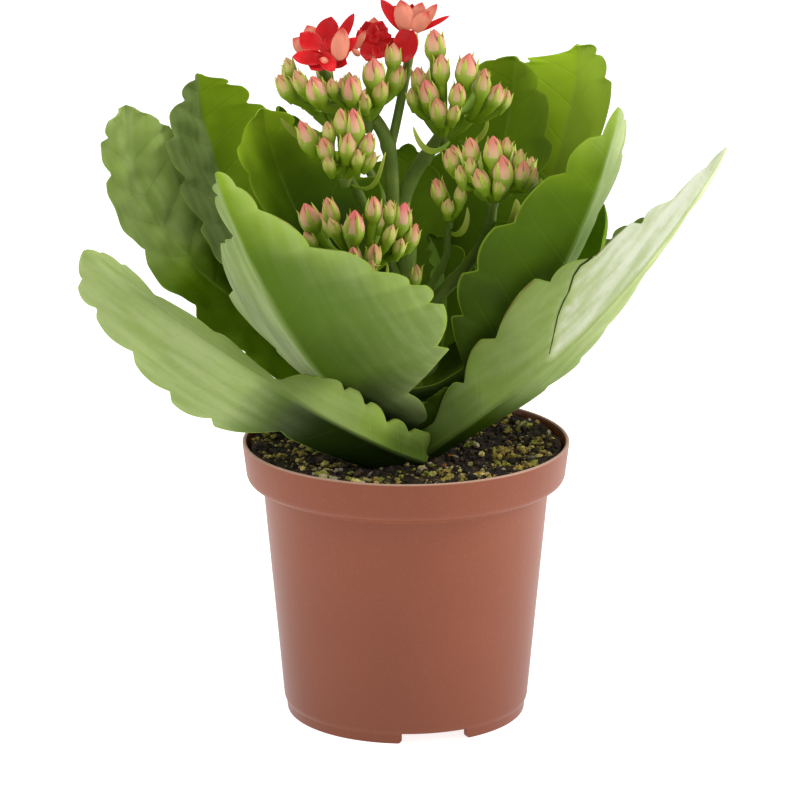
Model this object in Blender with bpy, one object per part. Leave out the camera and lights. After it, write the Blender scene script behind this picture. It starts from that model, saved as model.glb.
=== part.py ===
# Potted kalanchoe: a succulent with fleshy scalloped leaves, bud heads and double flowers in a plastic pot.
# Metres, +Z up. Origin: centre of the pot's foot, on the surface that it stands on.
# Plan directions are bearings: 0 is to the front (-Y), 90 to the right (+X), 180 to the back.

import bpy
import bmesh
import math
from mathutils import Vector, Matrix

for old in list(bpy.data.objects):
    bpy.data.objects.remove(old, do_unlink=True)

MM = 0.001  # every size below is in millimetres
GAP = 0.3  # left between pieces that touch

# Pot
RIM_RADIUS = 52.5
RIM_HEIGHT = 90.0
BAND_HEIGHT = 13.5
BAND_STEP = 5.2  # how far the rim band stands out from the body
BASE_RADIUS = 39.4
WALL = 1.2
FOOT_HEIGHT = 3.6
FOOT_WIDTH = 1.8
FOOT_GAP_ANGLE = 32.0
FOOT_GAP_FIRST = 14.0
FOOT_GAPS = 3
DRAIN_RADIUS = 3.6
DRAIN_CIRCLE = 27.0
DRAINS = 6
POT_SIDES = 40
# Soil
SOIL_LEVEL = 86.0
SOIL_BUMP = 0.5
SOIL_SIDES = 30
# Plant
LEAF_STEPS = 18
LEAF_THICKNESS = 1.7
STEM_RADIUS = 4.2
ROD_SIDES = 8
BUD_SIDES = 5

POT_RED = (0.37, 0.115, 0.066)
SOIL_BROWN = (0.035, 0.022, 0.014)
LEAF_GREEN = (0.105, 0.19, 0.018)
STALK_GREEN = (0.17, 0.27, 0.05)
BUD_SALMON = (0.62, 0.36, 0.22)
PETAL_RED = (0.62, 0.006, 0.012)


# Materials and mesh helpers

def make_material(name, colour, roughness):
    material = bpy.data.materials.new(name)
    material.use_nodes = True
    shader = material.node_tree.nodes["Principled BSDF"]
    shader.inputs["Base Color"].default_value = (*colour, 1.0)
    shader.inputs["Roughness"].default_value = roughness
    shader.inputs["Metallic"].default_value = 0.0
    return material


def make_object(name, bm, material, smooth_angle=40.0):
    bmesh.ops.remove_doubles(bm, verts=bm.verts, dist=0.00002)
    bmesh.ops.recalc_face_normals(bm, faces=bm.faces)
    mesh = bpy.data.meshes.new(name)
    bm.to_mesh(mesh)
    bm.free()
    mesh.materials.append(material)
    mesh.shade_smooth()
    mesh.set_sharp_from_angle(angle=math.radians(smooth_angle))
    thing = bpy.data.objects.new(name, mesh)
    bpy.context.scene.collection.objects.link(thing)
    return thing


def bearing(angle):
    turn = math.radians(angle)
    return Vector((math.sin(turn), -math.cos(turn), 0.0))


def smooth_step(value):
    value = min(1.0, max(0.0, value))
    return value * value * (3.0 - 2.0 * value)


def along_curve(points, t):
    """Point on the cubic that runs through four evenly spaced points."""
    total = Vector((0.0, 0.0, 0.0))
    for i, point in enumerate(points):
        weight = 1.0
        for j in range(4):
            if j != i:
                weight *= (3.0 * t - j) / (i - j)
        total += weight * Vector(point)
    return total


def between_stops(stops, t):
    """Eased value between (place, value) stops."""
    if t <= stops[0][0]:
        return stops[0][1]
    for (t0, low), (t1, high) in zip(stops, stops[1:]):
        if t <= t1:
            return low + (high - low) * smooth_step((t - t0) / (t1 - t0))
    return stops[-1][1]


def ring_mesh(bm, rings, cap_start=True, cap_end=True):
    """Skins a list of closed rings of points, and closes both ends."""
    rows = []
    for ring in rings:
        rows.append([bm.verts.new(point * MM) for point in ring])
    for low, high in zip(rows, rows[1:]):
        count = max(len(low), len(high))
        for k in range(count):
            if len(high) == 1:
                bm.faces.new((low[k], low[(k + 1) % count], high[0]))
            elif len(low) == 1:
                bm.faces.new((low[0], high[(k + 1) % count], high[k]))
            else:
                bm.faces.new((low[k], low[(k + 1) % count], high[(k + 1) % count], high[k]))
    if cap_start and len(rows[0]) > 2:
        bm.faces.new(list(reversed(rows[0])))
    if cap_end and len(rows[-1]) > 2:
        bm.faces.new(rows[-1])


def circle_about(centre, direction, radius, sides, turn=0.0):
    side = direction.orthogonal().normalized()
    other = direction.cross(side).normalized()
    ring = []
    for k in range(sides):
        angle = 2.0 * math.pi * k / sides + turn
        ring.append(centre + radius * (math.cos(angle) * side + math.sin(angle) * other))
    return ring


def frames_along(points):
    """Steady direction frames along a path, so that a tube does not twist."""
    directions = []
    for i in range(len(points)):
        ahead = points[min(i + 1, len(points) - 1)]
        behind = points[max(i - 1, 0)]
        directions.append((ahead - behind).normalized())
    side = directions[0].orthogonal().normalized()
    frames = []
    for direction in directions:
        side = (side - side.dot(direction) * direction).normalized()
        frames.append((direction, side, direction.cross(side)))
    return frames


def tube_rings(points, radii, sides):
    rings = []
    for point, radius, (direction, side, other) in zip(points, radii, frames_along(points)):
        ring = []
        for k in range(sides):
            angle = 2.0 * math.pi * k / sides
            ring.append(point + radius * (math.cos(angle) * side + math.sin(angle) * other))
        rings.append(ring)
    return rings


def lathe(bm, profile, sides):
    """Closed profile of (radius, height) points turned about Z."""
    rows = []
    for k in range(sides):
        angle = 2.0 * math.pi * k / sides
        row = []
        for radius, height in profile:
            row.append(bm.verts.new(Vector((radius * math.sin(angle), -radius * math.cos(angle), height)) * MM))
        rows.append(row)
    count = len(profile)
    for k in range(sides):
        here = rows[k]
        there = rows[(k + 1) % sides]
        for i in range(count):
            j = (i + 1) % count
            if profile[i][0] == 0.0 and profile[j][0] == 0.0:
                continue
            bm.faces.new((here[i], there[i], there[j], here[j]))


def drop_flat_faces(bm):
    """Welds the copies on the axis and dissolves the faces that they leave."""
    bmesh.ops.remove_doubles(bm, verts=bm.verts, dist=0.00002)
    bmesh.ops.dissolve_degenerate(bm, edges=bm.edges, dist=0.00001)


def boolean_all(target, helpers, operation):
    """Applies one exact Boolean with every helper, then removes the helpers."""
    group = bpy.data.collections.new(target.name + "_helpers")
    for helper in helpers:
        bpy.context.scene.collection.objects.unlink(helper)
        group.objects.link(helper)
    bpy.context.scene.collection.children.link(group)
    cut = target.modifiers.new("join", "BOOLEAN")
    cut.operation = operation
    cut.operand_type = "COLLECTION"
    cut.collection = group
    cut.solver = "EXACT"
    seen = bpy.context.evaluated_depsgraph_get()
    result = bpy.data.meshes.new_from_object(target.evaluated_get(seen))
    target.modifiers.clear()
    target.data = result
    for helper in helpers:
        bpy.data.objects.remove(helper, do_unlink=True)
    bpy.data.collections.remove(group)


# Pot

def inner_radius(height):
    """Inside radius of the pot wall at a height."""
    band_low = RIM_HEIGHT - BAND_HEIGHT
    body_top = RIM_RADIUS - BAND_STEP - 1.4
    if height < band_low:
        share = (height - FOOT_HEIGHT) / (band_low - FOOT_HEIGHT)
        return BASE_RADIUS + (body_top - BASE_RADIUS) * share - WALL
    share = (height - band_low) / BAND_HEIGHT
    return RIM_RADIUS - 1.4 + 1.2 * share - WALL


def build_pot():
    band_low = RIM_HEIGHT - BAND_HEIGHT
    body_top = RIM_RADIUS - BAND_STEP - 1.4
    band_foot = RIM_RADIUS - 1.2
    foot_out = BASE_RADIUS - 0.7
    lip = 0.6
    profile = [
        (foot_out - 0.3, 0.0),
        (foot_out, FOOT_HEIGHT - 0.4),
        (BASE_RADIUS, FOOT_HEIGHT + 0.8),
        (body_top, band_low),
        (band_foot - 2.2, band_low + 0.1),
        (band_foot - 0.5, band_low + 1.1),
        (band_foot, band_low + 2.8),
        (RIM_RADIUS, RIM_HEIGHT - 1.0),
        (RIM_RADIUS - 0.3, RIM_HEIGHT - 0.2),
        (RIM_RADIUS - lip, RIM_HEIGHT),
        (RIM_RADIUS - 2.0 * lip, RIM_HEIGHT - 0.3),
        (band_foot - WALL, band_low + 3.2),
        (band_foot - WALL - 1.4, band_low + WALL + 0.2),
        (body_top - WALL, band_low + WALL - 0.4),
        (BASE_RADIUS - WALL, FOOT_HEIGHT + WALL + 1.2),
        (BASE_RADIUS - WALL - 1.0, FOOT_HEIGHT + WALL),
        (0.0, FOOT_HEIGHT + WALL),
        (0.0, FOOT_HEIGHT),
        (foot_out - FOOT_WIDTH, FOOT_HEIGHT),
        (foot_out - FOOT_WIDTH, 0.0),
    ]
    bm = bmesh.new()
    lathe(bm, profile, POT_SIDES)
    drop_flat_faces(bm)
    pot = make_object("pot", bm, plastic, 30.0)
    cutters = []
    for k in range(FOOT_GAPS):
        angle = FOOT_GAP_FIRST + 360.0 * k / FOOT_GAPS
        half = math.tan(math.radians(FOOT_GAP_ANGLE / 2.0))
        near = BASE_RADIUS - 8.0
        far = BASE_RADIUS + 3.0
        corners = [(near, -near * half), (far, -far * half), (far, far * half), (near, near * half)]
        out = bearing(angle)
        across = bearing(angle + 90.0)
        low = [out * r + across * w + Vector((0, 0, -1.0)) for r, w in corners]
        high = [point + Vector((0, 0, FOOT_HEIGHT + 0.9)) for point in low]
        bm = bmesh.new()
        ring_mesh(bm, [low, high])
        cutters.append(make_object("foot_gap_cutter", bm, plastic))
    for k in range(DRAINS):
        centre = bearing(30.0 + 360.0 * k / DRAINS) * DRAIN_CIRCLE
        low = circle_about(centre + Vector((0, 0, FOOT_HEIGHT - 1.0)), Vector((0, 0, 1)), DRAIN_RADIUS, 12)
        high = [point + Vector((0, 0, WALL + 2.0)) for point in low]
        bm = bmesh.new()
        ring_mesh(bm, [low, high])
        cutters.append(make_object("drain_cutter", bm, plastic))
    boolean_all(pot, cutters, "DIFFERENCE")
    return pot


def build_soil():
    band_low = RIM_HEIGHT - BAND_HEIGHT
    inset = GAP + 0.1
    low = FOOT_HEIGHT + WALL + GAP
    rings = []
    stations = [
        (inner_radius(low) - 1.6, low),
        (inner_radius(low + 3.0) - inset - 0.2, low + 3.0),
        (inner_radius(band_low - 1.0) - inset, band_low - 1.0),
        (inner_radius(band_low - 1.0) - inset, band_low + 0.9),
        (inner_radius(band_low + 4.0) - inset - 3.4, band_low + WALL + 0.9),
        (inner_radius(band_low + 4.0) - inset - 1.6, band_low + 3.4),
        (inner_radius(band_low + 4.0) - inset - 0.3, band_low + 4.6),
        (inner_radius(SOIL_LEVEL) - inset, SOIL_LEVEL + 0.4),
        (44.0, SOIL_LEVEL + 0.2),
        (32.0, SOIL_LEVEL),
        (20.0, SOIL_LEVEL),
    ]
    for row, (radius, height) in enumerate(stations):
        ring = []
        for k in range(SOIL_SIDES):
            angle = 360.0 * k / SOIL_SIDES
            bump = 0.0
            if row > 7:
                bump = SOIL_BUMP * math.sin(5.0 * math.radians(angle) + row) * math.cos(3.0 * math.radians(angle))
            ring.append(bearing(angle) * radius + Vector((0, 0, height + bump)))
        rings.append(ring)
    bm = bmesh.new()
    ring_mesh(bm, rings)
    return make_object("soil", bm, peat, 30.0)


# Leaves

def scallops(widths, places=(.34, .47, .60, .73, .85, .94)):
    return list(zip(places, widths))


USUAL = (21, 25, 25, 21, 14, 7)  # half widths at the tooth points of a common leaf


def resized(share):
    return scallops([width * share for width in USUAL])


# Each leaf: four points that its midrib runs through; roll about the midrib; half blades on the
# left and right hand, seen along the leaf from its base, with tooth points (share of length, half
# width) and the angle that each half folds up from flat.
LEAVES = {
    "leaf_front_left_low": dict(
        rib=[(-7, -8, 94), (-36, -14, 107), (-71, -20, 132), (-100, -27, 158)], roll=(-85, -110), stalk=6,
        right=dict(teeth=[(.28, 12), (.40, 17), (.55, 22), (.66, 21), (.82, 16), (.94, 9)], notch=1.6,
                   fold=[(0, 15)]),
        left=dict(teeth=[(.20, 9), (.27, 11), (.38, 10), (.55, 13), (.72, 12), (.88, 8)],
                  fold=[(0, 10), (.22, 12), (.38, 70), (.6, 60)])),
    "leaf_front_left": dict(
        rib=[(-4, -9, 103), (-28, -32, 122), (-47, -52, 161), (-57, -58, 190)], roll=(0, 0),
        left=dict(teeth=[(.16, 20), (.26, 36), (.37, 48), (.49, 48), (.585, 34), (.665, 21), (.80, 10), (.93, 5)],
                  notch=3.0, fold=[(0, 25)]),
        right=dict(teeth=[(.34, 20), (.50, 23), (.65, 22), (.76, 16), (.90, 7)], fold=[(0, 5)], curl=5)),
    "leaf_front_right": dict(
        rib=[(6, -6, 106), (36, -12, 126), (59, -23, 165), (66, -29, 204)], roll=(30, 25),
        right=dict(teeth=[(.18, 14), (.30, 24), (.42, 31), (.535, 34), (.645, 32), (.78, 25), (.90, 13)],
                   notch=2.4, fold=[(0, 20)]),
        left=dict(teeth=[(.34, 9), (.50, 10), (.70, 8), (.91, 5)], fold=[(0, 28), (1, 8)])),
    "leaf_right_low": dict(
        rib=[(8, -8, 94), (41, -27, 119), (74, -34, 156), (98.7, -26, 191)], roll=(70, 70), stalk=6,
        right=dict(teeth=[(.19, 17), (.27, 20), (.38, 23), (.50, 21), (.60, 16), (.72, 12), (.91, 4.5)],
                   fold=[(0, 20)]),
        left=dict(teeth=[(.30, 10), (.42, 9), (.60, 4.5), (.80, 2.8), (.92, 1.8)], fold=[(0, 20)])),
    "leaf_left": dict(
        rib=[(-8, 3, 97), (-41, 12, 120), (-76, 26, 150), (-90, 33, 192)], roll=(30, 30),
        left=dict(teeth=scallops((17, 18, 19, 20, 17, 9)), fold=[(0, 15)]),
        right=dict(teeth=scallops((8, 11, 15, 17, 13, 9)), fold=[(0, 10)])),
    "leaf_back_left": dict(
        rib=[(-5, 6, 108), (-40, 28, 134), (-61, 46, 167), (-68, 55, 198)], roll=(20, 20),
        left=dict(teeth=scallops((10, 16, 24, 24, 17, 10)), fold=[(0, 45), (1, 40)]),
        right=dict(teeth=scallops((20, 25, 26, 25, 20, 14)), fold=[(0, 10)])),
    "leaf_inner_left": dict(
        rib=[(-7, -1, 113), (-22, 3, 137), (-38, 5, 170), (-45, 8, 196)], roll=(25, 25),
        left=dict(teeth=scallops((21, 27, 29, 27, 18, 9)), fold=[(0, 20)]),
        right=dict(teeth=scallops((22, 28, 29, 24, 16, 8)), fold=[(0, 20)])),
    "leaf_back_right": dict(
        rib=[(6, 5, 105), (34, 24, 135), (52, 43, 182), (55, 51, 208)], roll=(0, 0),
        left=dict(teeth=scallops((21, 25, 26, 24, 20, 14)), fold=[(0, 20)]),
        right=dict(teeth=scallops((21, 25, 26, 27, 19, 8)), fold=[(0, 20)])),
    "leaf_back_right_inner": dict(
        rib=[(4, 7, 115), (21, 25, 138), (32, 42, 177), (35, 48, 205)], roll=(0, 0),
        left=dict(teeth=resized(.9), fold=[(0, 20)]),
        right=dict(teeth=scallops((19, 23, 25, 21, 11, 4)), fold=[(0, 20)])),
    "leaf_right_back": dict(
        rib=[(9, 3, 97), (33, 9, 111), (57, 20, 136), (63, 26, 161)], roll=(0, 0),
        left=dict(teeth=resized(.8), fold=[(0, 20)]),
        right=dict(teeth=scallops((13, 14, 13, 8, 4, 2)), fold=[(0, 20)])),
    "leaf_back_inner": dict(
        rib=[(0, 8, 124), (-2, 23, 138), (-1, 37, 159), (1, 44, 177)], roll=(0, 0),
        left=dict(teeth=resized(.7), fold=[(0, 20)]),
        right=dict(teeth=resized(.7), fold=[(0, 20)])),
    "leaf_inner_right": dict(
        rib=[(11, 2, 119), (12.5, 5, 128), (12, 9, 141), (7, 13, 154)], roll=(0, 0), stalk=2,
        left=dict(teeth=resized(.22), fold=[(0, 20)]),
        right=dict(teeth=resized(.45), fold=[(0, 20)])),
    "leaf_back_left_inner": dict(
        rib=[(-4, 7, 117), (-18, 20, 136), (-34, 32, 165), (-41, 36, 191)], roll=(0, 0),
        left=dict(teeth=resized(.7), fold=[(0, 20)]),
        right=dict(teeth=resized(.7), fold=[(0, 20)])),
    "leaf_basal": dict(
        rib=[(4, -14, 89), (7, -19, 97), (9, -23, 104), (10, -25, 111)], roll=(0, 0), stalk=2,
        left=dict(teeth=resized(.28), notch=.5, fold=[(0, 20)]),
        right=dict(teeth=resized(.28), notch=.5, fold=[(0, 20)])),
    "leaf_back_low": dict(
        rib=[(0, 9, 93), (3, 32, 106), (5, 53, 128), (4, 62, 156)], roll=(0, 0),
        left=dict(teeth=resized(.8), fold=[(0, 25)]),
        right=dict(teeth=resized(.8), fold=[(0, 25)])),
    "leaf_back_left_low": dict(
        rib=[(-8, 7, 93), (-36, 24, 106), (-62, 42, 127), (-76, 52, 152)], roll=(0, 0),
        left=dict(teeth=resized(.75), fold=[(0, 25)]),
        right=dict(teeth=resized(.75), fold=[(0, 25)])),
    "leaf_back_right_low": dict(
        rib=[(8, 7, 93), (38, 23, 106), (64, 41, 127), (78, 50, 151)], roll=(0, 0),
        left=dict(teeth=resized(.75), fold=[(0, 25)]),
        right=dict(teeth=resized(.75), fold=[(0, 25)])),
}


def half_width(t, teeth, stalk, notch):
    """Half width of a blade: a stalk, then convex scallops that each end in a tooth point."""
    if t >= 1.0:
        return 0.0
    first_place, first_width = teeth[0]
    if t <= first_place:
        rise = max(0.0, (t - 0.06) / (first_place - 0.06))
        return stalk + (first_width - stalk) * math.sin(rise * math.pi / 2.0) ** 1.3
    stops = list(teeth) + [(1.0, 0.0)]
    for k in range(1, len(stops)):
        t0, w0 = stops[k - 1]
        t1, w1 = stops[k]
        if t > t1:
            continue
        last = k == len(stops) - 1
        share = (t - t0) / (t1 - t0)
        dip = 0.08 if last else 0.14
        low = w0 + (w1 - w0) * dip - notch * min(1.0, w0 / 8.0)
        if share < dip:
            return w0 + (low - w0) * share / dip
        rest = (share - dip) / (1.0 - dip)
        if last:
            return low * (1.0 - rest ** 1.8) ** 0.75
        return low + (w1 - low) * rest + 1.1 * notch * math.sin(math.pi * rest) ** 0.8
    return 0.0


def leaf_row(spec, t):
    """Points across the blade at t, and the blade's upper normals, from left margin to right."""
    rib = spec["rib"]
    point = along_curve(rib, t)
    ahead = along_curve(rib, min(1.0, t + 0.02))
    behind = along_curve(rib, max(0.0, t - 0.02))
    direction = (ahead - behind).normalized()
    heading = Vector(rib[3]) - Vector(rib[0])
    side = Vector((heading.y, -heading.x, 0.0)).normalized()
    side = (side - side.dot(direction) * direction).normalized()
    up = side.cross(direction)
    roll = math.radians(spec["roll"][0] + (spec["roll"][1] - spec["roll"][0]) * t)
    across = side * math.cos(roll) + up * math.sin(roll)
    normal = up * math.cos(roll) - side * math.sin(roll)
    row = [None, None, point, None, None]
    normals = [None, None, normal, None, None]
    for hand, key in ((-1, "left"), (1, "right")):
        half = spec[key]
        width = half_width(t, half["teeth"], spec.get("stalk", 4.0), half.get("notch", 2.0))
        fold = between_stops(half["fold"], t)
        curl = half.get("curl", 10.0)
        place = point
        for k in (1, 2):
            angle = math.radians(fold * (0.85 if k == 1 else 1.0) + curl * (k - 0.5) / 2.0)
            place = place + (hand * across * math.cos(angle) + normal * math.sin(angle)) * width / 2.0
            row[2 + hand * k] = place
            normals[2 + hand * k] = normal * math.cos(angle) - hand * across * math.sin(angle)
    return row, normals


def build_leaf(name, spec):
    bm = bmesh.new()
    upper = []
    lower = []
    for i in range(LEAF_STEPS):
        t = i / LEAF_STEPS
        row, normals = leaf_row(spec, t)
        thick = LEAF_THICKNESS * (1.6 - 0.6 * smooth_step(t / 0.25)) * (1.0 - 0.5 * t)
        depth = (0.12, 0.7, 1.0, 0.7, 0.12)
        upper.append([bm.verts.new((p + n * thick * d * 0.4) * MM) for p, n, d in zip(row, normals, depth)])
        lower.append([bm.verts.new((p - n * thick * d * 0.6) * MM) for p, n, d in zip(row, normals, depth)])
    tip = bm.verts.new(along_curve(spec["rib"], 1.0) * MM)
    for i in range(LEAF_STEPS - 1):
        for k in range(4):
            bm.faces.new((upper[i][k], upper[i][k + 1], upper[i + 1][k + 1], upper[i + 1][k]))
            bm.faces.new((lower[i][k + 1], lower[i][k], lower[i + 1][k], lower[i + 1][k + 1]))
        bm.faces.new((lower[i][0], upper[i][0], upper[i + 1][0], lower[i + 1][0]))
        bm.faces.new((upper[i][4], lower[i][4], lower[i + 1][4], upper[i + 1][4]))
    for k in range(4):
        bm.faces.new((upper[-1][k], upper[-1][k + 1], tip))
        bm.faces.new((lower[-1][k + 1], lower[-1][k], tip))
        bm.faces.new((upper[0][k + 1], upper[0][k], lower[0][k], lower[0][k + 1]))
    bm.faces.new((lower[-1][0], upper[-1][0], tip))
    bm.faces.new((upper[-1][4], lower[-1][4], tip))
    return make_object(name, bm, leaf_skin, 50.0)


# Stems and stalks

# Each stem: points that it runs through, radius at the start, radius at the end.
STEMS = {
    "main_stem": ([(1, 1, SOIL_LEVEL + GAP + 0.4), (1, 1, 110), (2, 1, 134), (6, 1, 152)], STEM_RADIUS, 2.6),
    "stalk_top_left": ([(-2, 1, 146), (-7, 2, 160), (-11, 1, 174), (-14, -1, 187)], 2.0, 1.6),
    "stalk_top_right": ([(6, 1.5, 155), (6, 4, 165), (9, 6, 176), (13, 5, 188)], 2.0, 1.6),
    "stalk_mid_left": ([(-3.5, -5, 140), (-8, -6, 156), (-13, -7, 168), (-17, -8, 177)], 1.5, 1.2),
    "stalk_right": ([(9, 0, 134), (19, -3, 146), (25, -8, 157), (27, -10, 168)], 1.9, 1.5),
    "stalk_right_low": ([(9, -4, 140), (12, -7, 150), (13, -9, 156), (14, -10, 162)], 1.2, 1.0),
    "stalk_front": ([(-1, -7, 120), (-4, -14, 132), (-8, -20, 142), (-11, -22, 149)], 1.8, 1.4),
    "stalk_lone": ([(4, -7, 120), (5, -12, 128), (5, -15, 134), (4, -16, 139)], 0.9, 0.7),
    "stalk_back": ([(-2, 8, 142), (-6, 21, 158), (-12, 28, 171), (-20, 32, 181)], 1.5, 1.2),
}


def build_stem(name, points, start_radius, end_radius):
    steps = 8
    path = [along_curve(points, i / steps) for i in range(steps + 1)]
    radii = [start_radius + (end_radius - start_radius) * i / steps for i in range(steps + 1)]
    bm = bmesh.new()
    ring_mesh(bm, tube_rings(path, radii, ROD_SIDES))
    return make_object(name, bm, stalk_skin, 50.0)


# Bud heads

LARGE = (11.0, 3.7)  # length and radius of a bud about to open
MEDIUM = (9.0, 3.0)
SMALL = (7.0, 2.3)

# Each head: centre; reach of its dome to the side, front and top; drop from centre to the node
# that its stalks leave; buds on the front as (right of centre, above centre, size); and the
# number of buds behind.
HEADS = {
    "head_top_left": dict(
        centre=(-22, 1, 203), dome=(19, 13, 14), drop=9, behind=6,
        front=[(-16, 3, MEDIUM), (-14.5, 9, SMALL), (-11, 5, MEDIUM), (-6, 3, LARGE), (-1, 4, SMALL),
               (5, 3, LARGE), (9, -1, SMALL), (12, 8, LARGE), (14, 2, MEDIUM), (18, 12, MEDIUM),
               (19.5, 5, MEDIUM)]),
    "head_top_right": dict(
        centre=(16, 4, 199), dome=(17, 13, 16), drop=8, behind=5,
        front=[(-5, 20, MEDIUM), (-5, 13, MEDIUM), (-14, 3, SMALL), (-12, 9, MEDIUM), (-9, 5, LARGE),
               (-6, 0, MEDIUM), (-1, -1, SMALL), (0, 5, MEDIUM), (3, 13, LARGE), (8, 8, MEDIUM),
               (12, 4, MEDIUM), (15, 2, SMALL)]),
    "head_mid_left": dict(
        centre=(-19, -14, 187), dome=(15, 10, 12), drop=8, behind=1,
        front=[(-12, 6, LARGE), (-5, 8, SMALL), (-6, 3, MEDIUM), (-5, -2, SMALL), (-1, 11, MEDIUM),
               (3, 10, LARGE), (1, 4, MEDIUM), (7, 4, MEDIUM), (4, 0, SMALL), (8, -1, SMALL)]),
    "head_right": dict(
        centre=(27, -12, 180), dome=(16, 11, 13), drop=9, behind=4,
        front=[(-13, 5, MEDIUM), (-10, 1, SMALL), (-7, 9, MEDIUM), (-7, 4, SMALL), (0, 9, LARGE),
               (4, 10, SMALL), (3, 3, LARGE), (8, 6, SMALL), (-4, 0, MEDIUM), (2, -2, SMALL),
               (9, 2, MEDIUM), (12, 0, SMALL)]),
    "head_right_low": dict(
        centre=(14, -11, 170), dome=(8, 6, 8), drop=5, behind=0,
        front=[(-4, 5, MEDIUM), (3, 4, SMALL), (-1, 0, SMALL)]),
    "head_front": dict(
        centre=(-13, -25, 161), dome=(18, 10, 13), drop=10, behind=4,
        front=[(-17, 8, LARGE), (-10.5, 11, MEDIUM), (-9.5, 6, SMALL), (-17, 1, SMALL), (-3, 7, LARGE),
               (3, 12, MEDIUM), (8, 11, SMALL), (12, 9, LARGE), (8, 4, SMALL), (15, 3, MEDIUM),
               (11, 0, SMALL), (-3, -3, MEDIUM), (3, -2, MEDIUM), (2, -6, SMALL)]),
    "bud_lone": dict(
        centre=(3, -17, 148), dome=(4, 3, 4), drop=5, behind=0,
        front=[(0, 1, SMALL)]),
    "head_back": dict(
        centre=(-24, 34, 193), dome=(13, 10, 10), drop=8, behind=6,
        front=[(-9, 4, SMALL), (-3, 7, MEDIUM), (4, 6, MEDIUM), (9, 3, SMALL)]),
}


def bud_places(head):
    """Where the middle of each bud of a head sits, and its size."""
    centre = Vector(head["centre"])
    side, front, top = head["dome"]
    places = []
    for right, above, size in head["front"]:
        off = min(0.95, (right / side) ** 2 + 0.45 * (max(0.0, above) / top) ** 2)
        places.append((centre + Vector((right, -front * math.sqrt(1.0 - off), above)), size))
    for k in range(head["behind"]):
        swing = math.pi * (k + 0.5) / head["behind"]
        lift = 0.35 + 0.45 * (k % 2)
        back = Vector((side * 0.8 * math.cos(swing), front * 0.9 * math.sin(swing), top * lift))
        places.append((centre + back, MEDIUM if k % 2 else SMALL))
    return places


def bud_mesh(node, middle, size):
    """A pedicel from the node, and the pointed bud on its end."""
    length, radius = size
    aim = (middle - node).normalized() + Vector((0, 0, 0.9))
    aim.normalize()
    base = middle - aim * length * 0.5
    bend = node + (base - node) * 0.5 - Vector((0, 0, 0.12 * (base - node).length))
    points = [node, bend, base, base + aim * length * 0.38, base + aim * length * 0.72]
    radii = [0.8, 0.8, radius * 0.45, radius, radius * 0.72]
    rings = tube_rings(points, radii, BUD_SIDES)
    rings.append([base + aim * length])
    bm = bmesh.new()
    ring_mesh(bm, rings)
    return bm


def build_head(name, head):
    node = Vector(head["centre"]) - Vector((0, 0, head["drop"]))
    places = bud_places(head)
    bm = bmesh.new()
    if len(places) == 1:
        return make_object(name, bud_mesh(node, *places[0]), bud_skin, 50.0)
    bmesh.ops.create_icosphere(bm, subdivisions=1, radius=2.8 * MM, matrix=Matrix.Translation(node * MM))
    body = make_object(name, bm, bud_skin, 50.0)
    helpers = []
    for middle, size in places:
        helpers.append(make_object("bud_helper", bud_mesh(node, middle, size), bud_skin))
    boolean_all(body, helpers, "UNION")
    return body


# Flowers

# Each flower: centre; bearing and rise of the way that it faces; radius.
FLOWERS = {
    "flower_left": dict(centre=(-26, -5, 219), bearing=-20, rise=50, radius=11.5),
    "flower_middle": dict(centre=(-7, 4, 222), bearing=10, rise=65, radius=9.5),
    "flower_right": dict(centre=(8, 7, 226), bearing=60, rise=80, radius=9.5),
}
FLOWER_SIDES = 32
# Rings of a flower from its stalk to its heart: share of the radius, height as a share of the
# radius, petals in the ring, depth of the gaps between petals, share of a petal's turn.
FLOWER_RINGS = (
    (0.10, -0.62, 8, 0.0, 0.0),
    (0.22, -0.36, 8, 0.0, 0.0),
    (0.30, -0.12, 8, 0.1, 0.0),
    (1.00, 0.05, 8, 0.42, 0.0),
    (0.62, 0.13, 8, 0.2, 0.0),
    (0.72, 0.40, 8, 0.40, 0.5),
    (0.42, 0.26, 8, 0.2, 0.5),
    (0.38, 0.52, 8, 0.3, 0.0),
    (0.16, 0.34, 8, 0.0, 0.0),
)


def build_flower(name, flower):
    centre = Vector(flower["centre"])
    radius = flower["radius"]
    rise = math.radians(flower["rise"])
    face = bearing(flower["bearing"]) * math.cos(rise) + Vector((0, 0, math.sin(rise)))
    side = face.orthogonal().normalized()
    other = face.cross(side)
    rings = []
    for reach, height, petals, gap, turn in FLOWER_RINGS:
        ring = []
        for k in range(FLOWER_SIDES):
            angle = 2.0 * math.pi * k / FLOWER_SIDES
            lobe = 0.5 - 0.5 * math.cos(petals * angle + 2.0 * math.pi * turn)
            out = side * math.cos(angle) + other * math.sin(angle)
            ring.append(centre + radius * (reach * (1.0 - gap * lobe) * out + height * face))
        rings.append(ring)
    bm = bmesh.new()
    ring_mesh(bm, rings)
    return make_object(name, bm, petal_skin, 50.0)


# Bracts

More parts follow.
